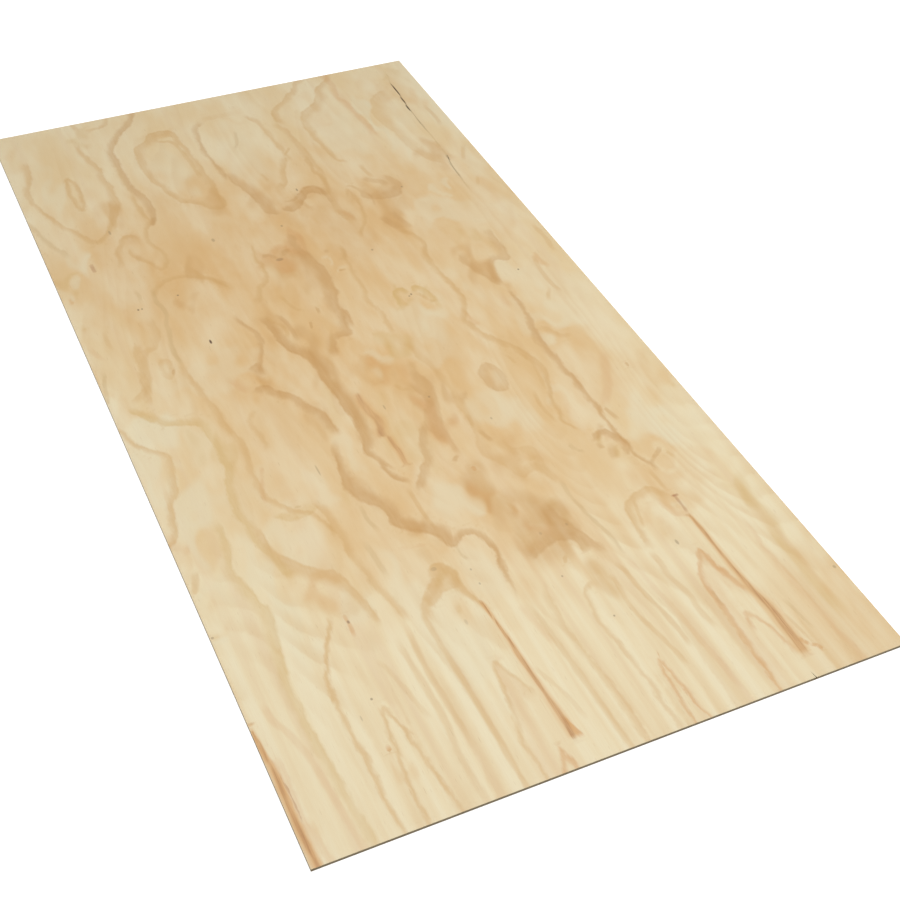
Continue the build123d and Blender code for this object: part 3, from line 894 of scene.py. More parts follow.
@dataclass
class PeeledFace:
    """The face veneer as a fine closed surface, worn at its edges and open where it has split.

    Attributes:
        figure: What the knife laid bare on it.
        splits: The places where it has split open.
        arris: The radius of the worn edges, in millimetres.
        column: The spacing of the grid across the sheet, in millimetres.
        row: The spacing of the grid along the sheet, in millimetres.
        relief: How far the soft early wood is worn below the late wood, in millimetres.
        floor_gap: How far the bottom of a split stays above the core, in millimetres.
        beside: How far from a lip the column beside it lies, in millimetres.
        clear: How far even columns and even rows stay from those of the splits, in millimetres.
        full_gap: The gap at which a split is as deep as it gets, in millimetres.
        crease: The angle between faces, in degrees, from which their edge is sharp.
    """

    figure: Figure
    splits: tuple[Split, ...]
    arris: float = 0.3
    column: float = 3.2
    row: float = 10.8
    relief: float = 0.035
    floor_gap: float = 0.02
    beside: float = 0.5
    clear: Point = (2.3, 2.5)
    full_gap: float = 0.15
    crease: float = 35.0

    def __post_init__(self) -> None:
        """Takes the sheet's place and size from the frame."""
        low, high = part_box("face_veneer")
        self.low = np.array(low) / MM
        self.high = np.array(high) / MM
        self.size = (self.high[0] - self.low[0], self.high[1] - self.low[1])
        self.thickness = self.high[2] - self.low[2]

    def edge_steps(self) -> np.ndarray:
        """How far in from an edge the three lines of its worn arris lie: a quarter round in two steps."""
        return self.arris * np.array([0.0, 1.0 - math.sqrt(0.5), 1.0])

    def even_places(self, axis: int, spacing: float) -> np.ndarray:
        """Evenly spaced places between the two worn edges of an axis."""
        side = self.size[axis]
        return np.linspace(self.arris, side - self.arris, int(side / spacing))[1:-1]

    def columns(self) -> np.ndarray:
        """The columns of the grid before any of them is bent to follow a split.

        Besides the even columns there are three at each long edge, for the worn arris, and six at each
        split, for each of its lips: one at its foot, one at its top and one beside it.

        Returns:
            A row for each column: its place across the sheet, its order among those at the same place,
            the number of its split, its side of the split, its distance from the lip, and whether it is
            at the foot.
        """
        edge = self.edge_steps()
        even = self.even_places(0, self.column)
        made = []
        for number, split in enumerate(self.splits):
            even = even[np.abs(even - split.start_column) > self.clear[0]]
            for side in (-1.0, 1.0):
                made.append((split.start_column, side, number, side, 0.0, 1.0))
                made.append((split.start_column, 2 * side, number, side, 0.0, 0.0))
                made.append((split.start_column, 3 * side, number, side, self.beside, 0.0))
        made += [(place, 0.0, 0.0, 0.0, 0.0, 0.0) for place in (*edge, *(self.size[0] - edge), *even)]
        return np.array(sorted(made))

    def rows(self) -> np.ndarray:
        """The places of the rows along the sheet, with one at each station of each split."""
        edge = self.edge_steps()
        even = self.even_places(1, self.row)
        stations = np.array([place[1] for split in self.splits for place in split.line])
        stations = stations[(stations > 1.0) & (stations < self.size[1] - 1.0)]
        even = even[np.abs(even[:, None] - stations).min(1) > self.clear[1]]
        return np.sort(np.concatenate([edge, self.size[1] - edge, even, stations]))

    def top_grid(self) -> tuple[np.ndarray, np.ndarray, np.ndarray]:
        """The upper surface as a height over a grid.

        A column's place is its even place, plus each split's wander as a tent that falls to nothing at
        both sides of the split, plus its side of the gap. The height falls by a quarter round at the
        edges, and by nearly the veneer's thickness at the foot of a lip that has opened.

        Returns:
            The places across and along the sheet and the heights above the sheet's corner, each as a
            grid of rows by columns, in millimetres.
        """
        place, _, number, side, beside, foot = self.columns().T
        along = self.rows()
        x = np.repeat(place[None, :], len(along), 0)
        y = np.repeat(along[:, None], len(place), 1)
        depth = np.zeros_like(x)
        for k, split in enumerate(self.splits):
            gap = split.gap(along)[:, None]
            mine = (number == k) & (side != 0)
            tent_left = 1.0 - (split.start_column - place) / split.bend[0]
            tent_right = 1.0 - (place - split.start_column) / split.bend[1]
            tent = np.clip(np.minimum(tent_left, tent_right), 0.0, 1.0)
            x += split.wander(along)[:, None] * tent
            x += mine * side * (gap / 2 + beside)
            opened = np.clip(gap / self.full_gap, 0.0, 1.0)
            depth += mine * foot * opened * (self.thickness - self.floor_gap)
        in_x = np.clip(self.arris - np.minimum(x, self.size[0] - x), 0.0, self.arris)
        in_y = np.clip(self.arris - np.minimum(y, self.size[1] - y), 0.0, self.arris)
        round_off = self.arris - np.sqrt(np.clip(self.arris**2 - in_x**2 - in_y**2, 0.0, None))
        return x, y, self.thickness - np.maximum(depth, round_off)

    def build(self, face: bpy.types.Material, edge: bpy.types.Material) -> bpy.types.Object:
        """Makes the piece in place of the face veneer's own solid.

        The grid's outer line goes straight down to the veneer's lower face, which closes the surface.
        Places that fall together where a split is shut are merged.

        Args:
            face: The finish of the peeled face.
            edge: The finish of the sawn edges.

        Returns:
            The new piece.
        """
        x, y, z = self.top_grid()
        count_y, count_x = x.shape
        index = np.arange(x.size).reshape(x.shape)
        rim = np.concatenate([index[0, :-1], index[:-1, -1], index[-1, :0:-1], index[:0:-1, 0]])
        top = np.stack([x.ravel(), y.ravel(), z.ravel()], -1)
        foot = top[rim] * (1.0, 1.0, 0.0)
        places = (np.vstack([top, foot]) + self.low) * MM
        corners = (index[:-1, :-1], index[:-1, 1:], index[1:, 1:], index[1:, :-1])
        quads = np.stack(corners, -1).reshape(-1, 4)
        under = x.size + np.arange(len(rim))
        walls = np.stack([under, np.roll(under, -1), np.roll(rim, -1), rim], -1)
        mesh = bpy.data.meshes.new("face_veneer_peeled")
        mesh.from_pydata(places, [], [*quads.tolist(), *walls.tolist(), under[::-1].tolist()])
        kinds = np.ones(len(quads) + len(walls) + 1, np.int32)
        kinds[: len(quads)] = 0
        mesh.materials.append(face)
        mesh.materials.append(edge)
        mesh.polygons.foreach_set("material_index", kinds)
        merge_doubles(mesh)
        self.paint(mesh)
        piece = bpy.data.objects.new("face_veneer_peeled", mesh)
        bpy.context.scene.collection.objects.link(piece)
        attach(piece, "root")
        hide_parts("face_veneer")
        counts = (len(mesh.polygons), count_y, count_x)
        LOG.info("%s: %d faces over %d rows and %d columns", piece.name, *counts)
        return piece

    def paint(self, mesh: bpy.types.Mesh) -> None:
        """Puts the figure into the mesh as attributes, and wears the early wood below the late wood."""
        places = np.empty(len(mesh.vertices) * 3, np.float32)
        mesh.vertices.foreach_get("co", places)
        places = places.reshape(-1, 3)
        x, y = places[:, 0] / MM - self.low[0], places[:, 1] / MM - self.low[1]
        made = self.figure.attributes(x, y, self.size)
        flat = places[:, 2] > (self.high[2] - LEVEL_WITHIN) * MM
        places[flat, 2] -= (self.relief * MM * (1.0 - self.figure.late_wood(made)))[flat]
        mesh.vertices.foreach_set("co", places.ravel())
        for name, values in made.items():
            attribute = mesh.attributes.new(name, "FLOAT_VECTOR", "POINT")
            attribute.data.foreach_set("vector", values.astype(np.float32).ravel())
        mesh.polygons.foreach_set("use_smooth", np.ones(len(mesh.polygons), bool))
        mesh.set_sharp_from_angle(angle=math.radians(self.crease))
        mesh.update()


def merge_doubles(mesh: bpy.types.Mesh) -> None:
    """Merges places of a mesh that fall together, and drops the faces that shrink to nothing by it."""
    work = bmesh.new()
    work.from_mesh(mesh)
    bmesh.ops.remove_doubles(work, verts=work.verts, dist=MERGE_WITHIN * MM)
    work.to_mesh(mesh)
    work.free()


def seen(red: int, green: int, blue: int) -> Colour:
    """A colour written as it is seen on a screen, from 0 to 255, as the linear colour of a socket."""
    share = np.array([red, green, blue]) / 255.0
    linear = np.where(share <= 0.04045, share / 12.92, ((share + 0.055) / 1.055) ** 2.4)
    return tuple(float(part) for part in linear)


class Value:
    """A number on its way through a finish: a socket whose operators add Math nodes."""

    def __init__(self, finish: "NodeFinish", socket: bpy.types.NodeSocket) -> None:
        """Keeps the finish that the socket is in."""
        self.finish = finish
        self.socket = socket

    def __add__(self, other: "Value | float") -> "Value":
        """This plus the other."""
        return self.finish.math("ADD", self, other)

    def __sub__(self, other: "Value | float") -> "Value":
        """This less the other."""
        return self.finish.math("SUBTRACT", self, other)

    def __rsub__(self, other: "Value | float") -> "Value":
        """The other less this."""
        return self.finish.math("SUBTRACT", other, self)

    def __mul__(self, other: "Value | float") -> "Value":
        """This times the other."""
        return self.finish.math("MULTIPLY", self, other)

    def __truediv__(self, other: "Value | float") -> "Value":
        """This over the other."""
        return self.finish.math("DIVIDE", self, other)

    def __pow__(self, other: "Value | float") -> "Value":
        """This to the power of the other."""
        return self.finish.math("POWER", self, other)

    __radd__ = __add__
    __rmul__ = __mul__


class NodeFinish:
    """A material under construction, with one method that adds any node and a few that use it."""

    def __init__(self, name: str, tree: bpy.types.NodeTree | None = None) -> None:
        """Starts an empty material of that name, or works in the tree that is given instead."""
        self.material = None
        if tree is None:
            self.material = bpy.data.materials.new(name)
            self.material.use_nodes = True
            tree = self.material.node_tree
        self.tree = tree
        self.tree.nodes.clear()

    def node(
        self,
        kind: str,
        settings: dict[str, object] | None = None,
        sockets: dict[int | str, object] | None = None,
    ) -> bpy.types.Node:
        """Adds a node.

        Args:
            kind: The node's type.
            settings: Its properties, with a ramp's stops as places and colours under "stops".
            sockets: The values or links of its sockets, by name or number.

        Returns:
            The node.
        """
        made = self.tree.nodes.new(kind)
        for name, setting in (settings or {}).items():
            if name == "stops":
                self.set_stops(made.color_ramp, setting)
            else:
                setattr(made, name, setting)
        for name, given in (sockets or {}).items():
            source = given.socket if isinstance(given, Value) else given
            if isinstance(source, bpy.types.NodeSocket):
                self.tree.links.new(source, made.inputs[name])
            else:
                made.inputs[name].default_value = source
        return made

    @staticmethod
    def set_stops(ramp: bpy.types.ColorRamp, stops: list[tuple[float, Colour]]) -> None:
        """Gives a ramp its stops, each a place from 0 to 1 and a colour."""
        while len(ramp.elements) > 1:
            ramp.elements.remove(ramp.elements[-1])
        for number, (place, colour) in enumerate(stops):
            element = ramp.elements[0] if number == 0 else ramp.elements.new(place)
            element.position = place
            element.color = (*colour, 1.0)

    def math(self, operation: str, *numbers: "Value | float") -> Value:
        """A Math node of that operation over the numbers."""
        made = self.node("ShaderNodeMath", {"operation": operation}, dict(enumerate(numbers)))
        return Value(self, made.outputs[0])

    def strongest(self, shares: list[Value]) -> Value:
        """The largest of some values."""
        return reduce(lambda first, second: self.math("MAXIMUM", first, second), shares)

    def step(self, value: Value, start: float, end: float) -> Value:
        """The smooth step of a value, from 0 at the start to 1 at the end."""
        settings = {"interpolation_type": "SMOOTHSTEP"}
        made = self.node("ShaderNodeMapRange", settings, {0: value, 1: start, 2: end, 3: 0.0, 4: 1.0})
        return Value(self, made.outputs[0])

    def place(self) -> bpy.types.NodeSocket:
        """The place on the object, in metres."""
        return self.node("ShaderNodeTexCoord").outputs["Object"]

    def stretched(self, scale: Triple) -> bpy.types.NodeSocket:
        """The place on the object with each axis times its own scale."""
        sockets = {0: self.place(), 1: scale}
        return self.node("ShaderNodeVectorMath", {"operation": "MULTIPLY"}, sockets).outputs[0]

    def noise(
        self, scale: Triple, detail: float = 2.0, rough: float = 0.5, bend: float = 0.0
    ) -> Value:
        """Smooth noise with so many lumps to the metre along each axis, from about 0 to about 1."""
        sockets = {"Vector": self.stretched(scale), "Scale": 1.0, "Detail": detail}
        sockets |= {"Roughness": rough, "Distortion": bend}
        return Value(self, self.node("ShaderNodeTexNoise", {}, sockets).outputs["Fac"])

    def split(self, vector: bpy.types.NodeSocket) -> tuple[Value, Value, Value]:
        """The three numbers of a vector."""
        made = self.node("ShaderNodeSeparateXYZ", {}, {0: vector})
        return tuple(Value(self, socket) for socket in made.outputs)

    def attribute(self, name: str) -> tuple[Value, Value, Value]:
        """The three numbers of one of the mesh's attributes."""
        made = self.node("ShaderNodeAttribute", {"attribute_name": name, "attribute_type": "GEOMETRY"})
        return self.split(made.outputs["Vector"])

    def blend(self, share: Value | float, first: object, second: object) -> bpy.types.NodeSocket:
        """A mix of two colours, of which the second has that share."""
        first, second = ((*c, 1.0) if isinstance(c, tuple) else c for c in (first, second))
        settings = {"data_type": "RGBA", "clamp_factor": True}
        return self.node("ShaderNodeMix", settings, {0: share, 6: first, 7: second}).outputs[2]

    def seen_directly(self) -> Value:
        """Whether the ray comes from the camera or by a mirroring or clear surface: 1 or 0."""
        path = self.node("ShaderNodeLightPath")
        rays = ("Camera", "Glossy", "Transmission")
        return self.strongest([Value(self, path.outputs[f"Is {ray} Ray"]) for ray in rays])

    def finish(
        self, colour: bpy.types.NodeSocket, rough: Value, height: Value, depth: float
    ) -> bpy.types.Material:
        """Joins the colour, roughness and relief in a Principled shader.

        Args:
            colour: The base colour.
            rough: The roughness.
            height: The relief, from 0 to 1.
            depth: The height of the relief, in metres.

        Returns:
            The material.
        """
        bump = self.node("ShaderNodeBump", {}, {"Height": height, "Distance": depth, "Strength": 1.0})
        sockets = {"Base Color": colour, "Roughness": rough, "Normal": bump.outputs[0]}
        shader = self.node("ShaderNodeBsdfPrincipled", {}, sockets)
        self.node("ShaderNodeOutputMaterial", {}, {"Surface": shader.outputs[0]})
        return self.material


@dataclass(frozen=True)
class PeeledPine:
    """The finish of the show face: pale pine, stained along its ring lines, with fibres and flecks, and
    painted shade inside its splits.

    Attributes:
        channels: How many ring lines may reach one place.
        speck_channels: How many specks may be near one place.
        top: The height of the face, in metres.
        cream: The palest early wood.
        straw: Early wood that is a little deeper.
        blush: Early wood with a breath of pink.
        honey: The wood of the tan zones.
        sapwood: The wood of the pale zones, cooler than the cream.
        hair: The finest fibres.
        fleck: The short darker cells between the fibres.
        knot: The heart of a pin knot.
        shade: Painted shade inside a split, darker the further the surface lies below the top; it darkens
            the worn arris a trace too.
        resin_tints: The halo, the body and the heart of a resin streak.
        ragged: How far fibres carry an edge to and fro, in millimetres.
        relief: The height of the grain's relief, in metres.
        stains: The colours of the stain ramp.
    """

    channels: int
    speck_channels: int
    top: float
    cream: Colour = seen(236, 223, 188)
    straw: Colour = seen(230, 208, 163)
    blush: Colour = seen(227, 205, 172)
    honey: Colour = seen(217, 174, 114)
    sapwood: Colour = seen(230, 220, 188)
    hair: Colour = seen(205, 168, 114)
    fleck: Colour = seen(186, 148, 98)
    knot: Colour = seen(84, 56, 34)
    shade: Colour = seen(58, 40, 24)
    resin_tints: tuple[Colour, ...] = (seen(216, 168, 104), seen(202, 150, 92), seen(152, 100, 60))
    ragged: float = 2.4
    relief: float = 0.00012
    stains: tuple[tuple[Stain, Colour], ...] = (
        (OLIVE, seen(196, 163, 108)),
        (MUSTARD, seen(206, 168, 96)),
        (TAN, seen(205, 161, 96)),
        (PINK, seen(212, 166, 114)),
        (BROWN, seen(192, 144, 80)),
        (ORANGE, seen(205, 145, 78)),
        (RED, seen(160, 98, 60)),
    )

    def stain(self, shader: NodeFinish, tint: Value) -> bpy.types.NodeSocket:
        """The colour at a place along the stain ramp."""
        stops = [(stain.value, colour) for stain, colour in self.stains]
        return shader.node("ShaderNodeValToRGB", {"stops": stops}, {0: tint}).outputs[0]

    def ring(self, shader: NodeFinish, number: int, carried: Value, streaky: Value) -> Value:
        """How much one channel's ring line stains each place.

        The stain jumps up at the crisp edge, which the fibres carry to and fro. From there it is a smooth
        step over the line's width, and a narrow rim at the edge is darker still. A soft line falls the
        same way on both of its sides.

        Args:
            shader: The finish being made.
            number: The channel.
            carried: How far the fibres carry the edge here, in millimetres.
            streaky: What the stain is scaled by here, from the fibres and the mottling.

        Returns:
            The share of the stain.
        """
        distance, width, weight = shader.attribute(f"ring_{number}")
        soft = shader.math("LESS_THAN", width, 0.0)
        moved = distance + carried * (1.0 - soft * 0.6)
        band = shader.step(moved / shader.math("ABSOLUTE", width), 1.15, 0.4)
        rim = shader.step(moved, 9.0, 1.0)
        edge = shader.step(moved, -5.2, 3.2)
        edge = edge + soft * (1.0 - edge)
        return (band * 0.77 + band * rim * 0.12) * edge * weight * streaky

    def rings_between(self, shader: NodeFinish, carried: Value) -> Value:
        """The faint rings between the traced ones.

        They are the contour lines of smooth noise that is long in the grain, on a slope across the sheet,
        which keeps them nearly straight where the noise is flat. Each is crisp on one side.
        """
        across, along, _ = shader.split(shader.place())
        hill = shader.noise((5.2, 0.95, 0.0), detail=1.0, rough=0.4)
        bold = 0.3 + 0.7 * shader.step(along, -1.0, -0.3)
        level = hill * bold * 15.0 + across * 15.0 + carried * 0.02
        part = shader.math("FRACT", level)
        crisp = shader.step(part, 0.0, 0.16) * shader.step(part, 0.9, 0.2)
        patchy = shader.noise((11.0, 1.9, 2.0))
        return crisp * shader.step(patchy, 0.36, 0.66)

    def ground(
        self, shader: NodeFinish, bloom: Value, streaks: Value, straight: Value
    ) -> bpy.types.NodeSocket:
        """The early wood: cream that deepens to straw, with a breath of pink in its streaks."""
        deeper = shader.step(bloom, 0.34, 0.68) * (1.0 - straight * 0.25)
        blushing = shader.step(streaks, 0.5, 0.7) * (0.25 + straight * 0.2)
        colour = shader.blend(deeper, self.cream, self.straw)
        return shader.blend(blushing, colour, self.blush)

    def toned(
        self, shader: NodeFinish, colour: bpy.types.NodeSocket, bloom: Value, mottle: Value
    ) -> bpy.types.NodeSocket:
        """Lays the tone patches over the colour, a little unevenly."""
        uneven = 0.4 + 0.5 * mottle + 0.45 * shader.step(bloom, 0.3, 0.68)
        tan, mustard, pale = shader.attribute("tone")
        brown, rust, _ = shader.attribute("deep_tone")
        stains = dict(self.stains)
        layers = (
            (tan * 0.95, self.honey),
            (mustard, stains[MUSTARD]),
            (brown, stains[BROWN]),
            (rust, stains[ORANGE]),
            (pale, self.sapwood),
        )
        for share, tint in layers:
            colour = shader.blend(share * uneven, colour, tint)
        return colour

    def dark_specks(self, shader: NodeFinish, hair: Value) -> Value:
        """How much the pin knots and flecks darken each place: a smooth step inside their ovals."""
        shares = []
        for number in range(self.speck_channels):
            across, along, depth = shader.attribute(f"speck_{number}")
            away = across * across + along * along + (hair - 0.5) * 1.2
            shares.append(shader.step(away, 1.7, 0.3) * depth)
        return shader.strongest(shares)

    def resin(
        self, shader: NodeFinish, colour: bpy.types.NodeSocket, fibre: Value, hair: Value
    ) -> bpy.types.NodeSocket:
        """Lays the resin streaks over the colour: an orange stain with a red-brown heart."""
        distance, width, weight = shader.attribute("resin")
        slow = shader.noise((60.0, 12.0, 3.0))
        away = shader.math("ABSOLUTE", distance + (fibre - 0.5) * 4.0 + (slow - 0.5) * 9.0)
        inside = shader.step(away / width, 1.1, 0.3)
        around = shader.step(away / width, 2.4, 0.6) * 0.5
        streak = shader.step(fibre * 0.55 + hair * 0.25 + slow * 0.2, 0.4, 0.62)
        halo, body, heart = self.resin_tints
        colour = shader.blend(around * weight, colour, halo)
        colour = shader.blend(inside * weight * (0.5 + streak * 0.35), colour, body)
        return shader.blend(inside * inside * weight * streak * 0.62, colour, heart)

    def build(self) -> bpy.types.Material:
        """Makes the material."""
        shader = NodeFinish("peeled_pine_face")
        fibre = shader.noise((330.0, 9.0, 1.0), detail=3.0, rough=0.6)
        hair = shader.noise((1500.0, 26.0, 1.0))
        waver = shader.noise((42.0, 20.0, 1.0), detail=3.0, rough=0.62)
        cloud = shader.noise((9.0, 3.4, 1.0), detail=3.0)
        mottle = shader.noise((36.0, 12.0, 1.0), detail=3.0)
        streaks = shader.noise((34.0, 0.9, 1.0))
        carried = (fibre - 0.5) * self.ragged + (waver - 0.5) * (9.0 * self.ragged)
        _, along, height_up = shader.split(shader.place())
        straight = shader.step(along, -0.5, -0.85)
        bloom = cloud + (streaks - cloud) * straight
        colour = self.ground(shader, bloom, streaks, straight)
        colour = self.toned(shader, colour, bloom, mottle)
        between = self.rings_between(shader, carried)
        colour = shader.blend(between * (0.13 + straight * 0.15), colour, dict(self.stains)[TAN])
        tints = (*shader.attribute("tint_near"), *shader.attribute("tint_far"))
        streaky = 0.2 + fibre * 0.5 + mottle * 1.15
        shares = [self.ring(shader, number, carried, streaky) for number in range(self.channels)]
        for share, tint in zip(shares, tints):
            colour = shader.blend(share, colour, self.stain(shader, tint))
        late = shader.strongest([between * 0.15, *shares])
        colour = self.resin(shader, colour, fibre, hair)
        flecks = shader.step(shader.noise((420.0, 34.0, 1.0), detail=1.0), 0.69, 0.8) * 0.28
        last = (
            (shader.step(hair, 0.3, 0.75) * 0.12, self.hair),
            (flecks, self.fleck),
            (self.dark_specks(shader, hair), self.knot),
            # painted shade: the further the surface lies below the top, as inside a split, the darker it
            # is painted
            (shader.step(self.top - height_up, 0.0002, 0.001), self.shade),
        )
        for share, tint in last:
            colour = shader.blend(share, colour, tint)
        height = fibre * 0.45 + hair * 0.4 - flecks * 0.8
        rough = 0.6 + (fibre - 0.5) * 0.12 - late * 0.07
        return shader.finish(colour, rough, height, self.relief)


@dataclass(frozen=True)
class SawnPly:
    """The finish of a ply at its sawn edges, and on its underside where that is seen.

    Attributes:
        name: The material's name.
        wood: The colour of clean wood.
        dirt: The colour of the grey-brown film that the edges pick up.
        grain: How many lumps to the metre the grain has along each axis.
        glue_lines: The heights of the glue lines, in metres.
        figured: Whether the underside has the rings of a peeled face.
        glued_and_shaded: Whether its broad faces are painted near black: dark glue with painted shade over
            it, for the bottom of the splits.
        late: The late wood of the underside.
        glue_line: The glue where it shows between two plies.
        glue_and_shade_face: The glue at the bottom of a split.
        relief: The height of the grain's relief, in metres.
    """

    name: str
    wood: Colour
    dirt: Colour
    grain: Triple
    glue_lines: tuple[float, ...]
    figured: bool = False
    glued_and_shaded: bool = False
    late: Colour = seen(188, 146, 96)
    glue_line: Colour = seen(72, 50, 34)
    # glue_and_shade_face: The colour of those broad faces: dark glue with painted shade over it.
    glue_and_shade_face: Colour = seen(46, 32, 22)
    relief: float = 0.00018

    def build(self) -> bpy.types.Material:
        """Makes the material."""
        shader = NodeFinish(self.name)
        grain = shader.noise(self.grain, detail=3.0, rough=0.6)
        patchy = shader.noise((13.0, 13.0, 160.0), detail=3.0)
        saw = shader.noise((700.0, 700.0, 40.0))
        normal = shader.node("ShaderNodeNewGeometry").outputs["Normal"]
        facing = shader.math("ABSOLUTE", shader.split(normal)[2])
        edge = shader.step(facing, 0.75, 0.35)
        colour = shader.blend(shader.step(grain, 0.3, 0.72) * 0.5, self.wood, self.dirt)
        if self.figured:
            colour = self.underside(shader, colour, grain)
        film = shader.step(patchy, 0.3, 0.7) * 0.35 + shader.step(saw, 0.4, 0.7) * 0.3
        colour = shader.blend(edge * film, colour, self.dirt)
        height_up = shader.split(shader.place())[2]
        away = [shader.math("ABSOLUTE", height_up - line) for line in self.glue_lines]
        glue = shader.strongest([shader.step(gap, 0.00022, 0.00008) for gap in away])
        colour = shader.blend(glue * edge * 0.75, colour, self.glue_line)
        # The broad faces are painted near black, darker than the glue line: dark glue with painted shade,
        # as at the bottom of a split.
        if self.glued_and_shaded:
            colour = shader.blend(1.0 - edge, colour, self.glue_and_shade_face)
        rough = 0.72 + (grain - 0.5) * 0.15
        return shader.finish(colour, rough, grain * 0.6 + saw * edge * 0.4, self.relief)

    def underside(
        self, shader: NodeFinish, colour: bpy.types.NodeSocket, grain: Value
    ) -> bpy.types.NodeSocket:
        """The rings of the peeled underside: contour lines of smooth noise that is long in the grain."""
        hill = shader.noise((2.3, 0.7, 0.0), rough=0.45, bend=0.3)
        across = shader.split(shader.place())[0]
        rings = hill * 13.0 + across * 3.0 + (grain - 0.5) * 0.1
        part = shader.math("FRACT", rings)
        stained = (1.0 - part) ** 2.2 * shader.step(part, 0.0, 0.05)
        return shader.blend(stained * 0.75, colour, self.late)


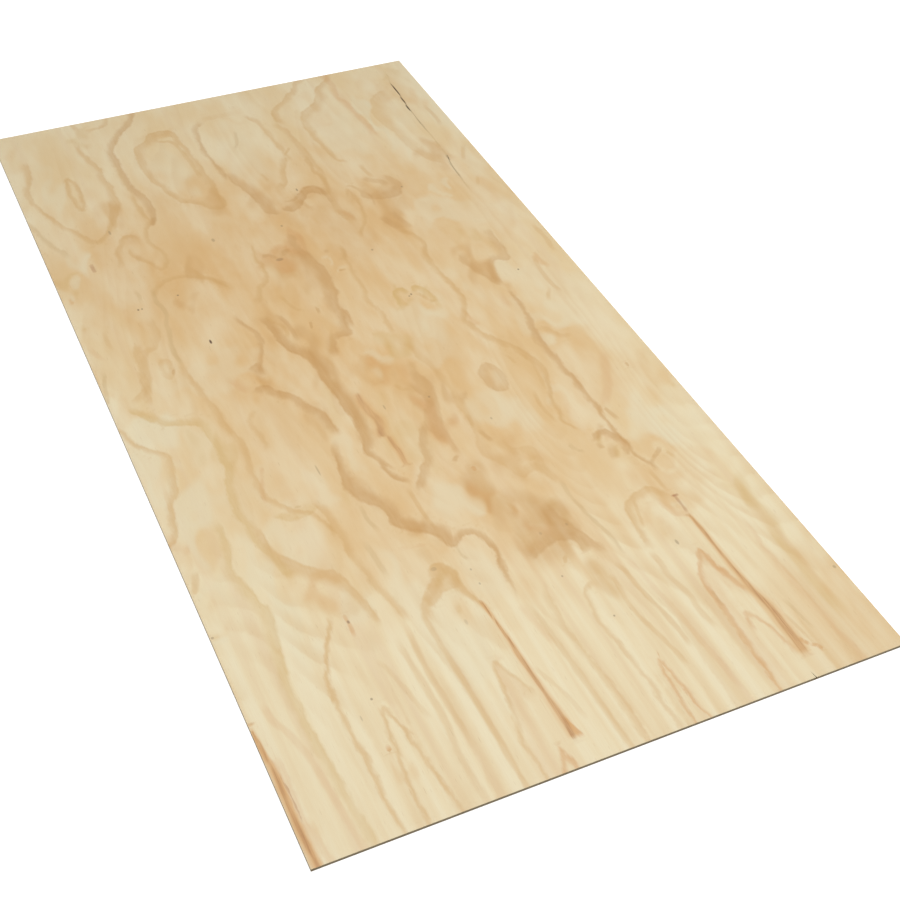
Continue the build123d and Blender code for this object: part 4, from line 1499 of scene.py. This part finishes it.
@dataclass(frozen=True)
class Studio:
    """The pale floor, the light and the camera.

    Attributes:
        camera_place: Where the camera stands, in metres.
        aim: The place on the sheet that it looks at.
        roll: How far it is turned about its view, in degrees, with the clock.
        lens: Its focal length, in millimetres, for a sensor 36 mm high.
        shift: How far the frame is slid across and up, as a share of its height.
        ambient: The strength of the light from all round.
        lamp_place: Where the soft lamp hangs.
        lamp_side: The side of the lamp's square.
        lamp_power: Its power in watts.
        floor_radius: The floor's radius.
        floor_corners: How many corners its round outline has.
        floor_drop: How far it lies below the sheet.
        floor_tint: The colour whose light it throws back onto the sheet.
        floor_shade: The colour that it is seen to have, which the lamp and the shadow act on.
        floor_glow: The light of its own that it is seen to have besides.
    """

    camera_place: Triple = (-0.9958, -2.4038, 2.1353)
    aim: Triple = (-0.0148, -0.3785, 0.007)
    roll: float = -2.128
    lens: float = 57.706
    shift: Point = (0.022, -0.0021)
    ambient: float = 0.36
    lamp_place: Triple = (0.2, -0.7, 4.4)
    lamp_side: float = 1.6
    lamp_power: float = 124.0
    floor_radius: float = 14.0
    floor_corners: int = 96
    floor_drop: float = 0.0002
    floor_tint: Colour = (0.3, 0.29, 0.275)
    floor_shade: Colour = (0.6, 0.6, 0.6)
    floor_glow: float = 0.8

    def build(self) -> None:
        """Makes the camera, the light and the floor."""
        scene = bpy.context.scene
        scene.view_settings.view_transform = "Standard"
        self.camera(scene)
        self.surroundings(scene)
        self.lamp(scene)
        self.floor(scene)

    def camera(self, scene: bpy.types.Scene) -> None:
        """Makes the camera: it looks from its place to its aim, rolled about that line."""
        data = bpy.data.cameras.new("camera")
        data.lens = self.lens
        data.shift_x, data.shift_y = self.shift
        data.clip_start, data.clip_end = 0.05, 60.0
        camera = bpy.data.objects.new("camera", data)
        view = Vector(self.aim) - Vector(self.camera_place)
        turn = Quaternion(view.normalized(), math.radians(self.roll))
        camera.rotation_mode = "QUATERNION"
        camera.rotation_quaternion = turn @ view.to_track_quat("-Z", "Y")
        camera.location = self.camera_place
        scene.collection.objects.link(camera)
        scene.camera = camera

    def surroundings(self, scene: bpy.types.Scene) -> None:
        """Makes the world: white where it is seen or mirrored, and a dimmer light on the object."""
        world = bpy.data.worlds.new("white_room")
        world.use_nodes = True
        shader = NodeFinish("white_room", world.node_tree)
        sees = shader.seen_directly()
        white = {"Color": (1.0, 1.0, 1.0, 1.0)}
        dim = shader.node("ShaderNodeBackground", {}, white | {"Strength": self.ambient})
        full = shader.node("ShaderNodeBackground", {}, white | {"Strength": 1.0})
        mixed = shader.node("ShaderNodeMixShader", {}, {0: sees, 1: dim.outputs[0], 2: full.outputs[0]})
        shader.node("ShaderNodeOutputWorld", {}, {"Surface": mixed.outputs[0]})
        scene.world = world

    def lamp(self, scene: bpy.types.Scene) -> None:
        """Hangs the soft square lamp over the near half of the sheet, facing straight down."""
        data = bpy.data.lights.new("soft_lamp", "AREA")
        data.shape = "SQUARE"
        data.size = self.lamp_side
        data.energy = self.lamp_power
        lamp = bpy.data.objects.new("soft_lamp", data)
        lamp.location = self.lamp_place
        scene.collection.objects.link(lamp)

    def floor(self, scene: bpy.types.Scene) -> None:
        """Lays the floor: a disc just under the sheet, seen as white except in the object's shadow."""
        shader = NodeFinish("white_floor")
        sees = shader.seen_directly()
        matt = shader.node("ShaderNodeBsdfDiffuse", {}, {"Color": (*self.floor_tint, 1.0)})
        lit = shader.node("ShaderNodeBsdfDiffuse", {}, {"Color": (*self.floor_shade, 1.0)})
        glow = shader.node("ShaderNodeEmission", {}, {"Strength": self.floor_glow})
        white = shader.node("ShaderNodeAddShader", {}, {0: lit.outputs[0], 1: glow.outputs[0]})
        mixed = shader.node("ShaderNodeMixShader", {}, {0: sees, 1: matt.outputs[0], 2: white.outputs[0]})
        shader.node("ShaderNodeOutputMaterial", {}, {"Surface": mixed.outputs[0]})
        angle = np.linspace(0.0, 2.0 * math.pi, self.floor_corners, endpoint=False)
        rim = np.stack([np.cos(angle), np.sin(angle), np.zeros_like(angle)], -1) * self.floor_radius
        rim[:, 2] = -self.floor_drop
        mesh = bpy.data.meshes.new("floor")
        mesh.from_pydata(rim, [], [list(range(self.floor_corners))])
        mesh.materials.append(shader.material)
        floor = bpy.data.objects.new("floor", mesh)
        scene.collection.objects.link(floor)


def dress(node: str, material: bpy.types.Material) -> None:
    """Gives a CAD node its finish in every material slot."""
    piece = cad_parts[node]
    if not piece.material_slots:
        piece.data.materials.append(material)
    for slot in piece.material_slots:
        slot.material = material
    LOG.info("%s: dressed as %s", node, material.name)


def main() -> None:
    """Builds the sheet's finishes and its face, then the studio."""
    logging.basicConfig(level=logging.INFO, format="%(name)s: %(message)s")
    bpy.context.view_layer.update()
    glue = (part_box("core_veneer")[0].z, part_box("core_veneer")[1].z)
    figure = Figure(RING_LINES, TONES, RESIN, SPECKS)
    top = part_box("face_veneer")[1].z
    face = PeeledPine(figure.channels, figure.speck_channels, top).build()
    along, across = (520.0, 14.0, 520.0), (14.0, 520.0, 520.0)
    edge = SawnPly("sawn_face_edge", seen(212, 194, 158), seen(166, 152, 124), along, glue)
    core = SawnPly("core_ply", seen(196, 178, 142), seen(142, 130, 106), across, glue, glued_and_shaded=True)
    back = SawnPly("back_ply", seen(216, 192, 148), seen(158, 138, 102), along, glue, figured=True)
    PeeledFace(figure, SPLITS).build(face, edge.build())
    dress("core_veneer", core.build())
    dress("back_veneer", back.build())
    Studio().build()


if __name__ == "__main__":
    main()
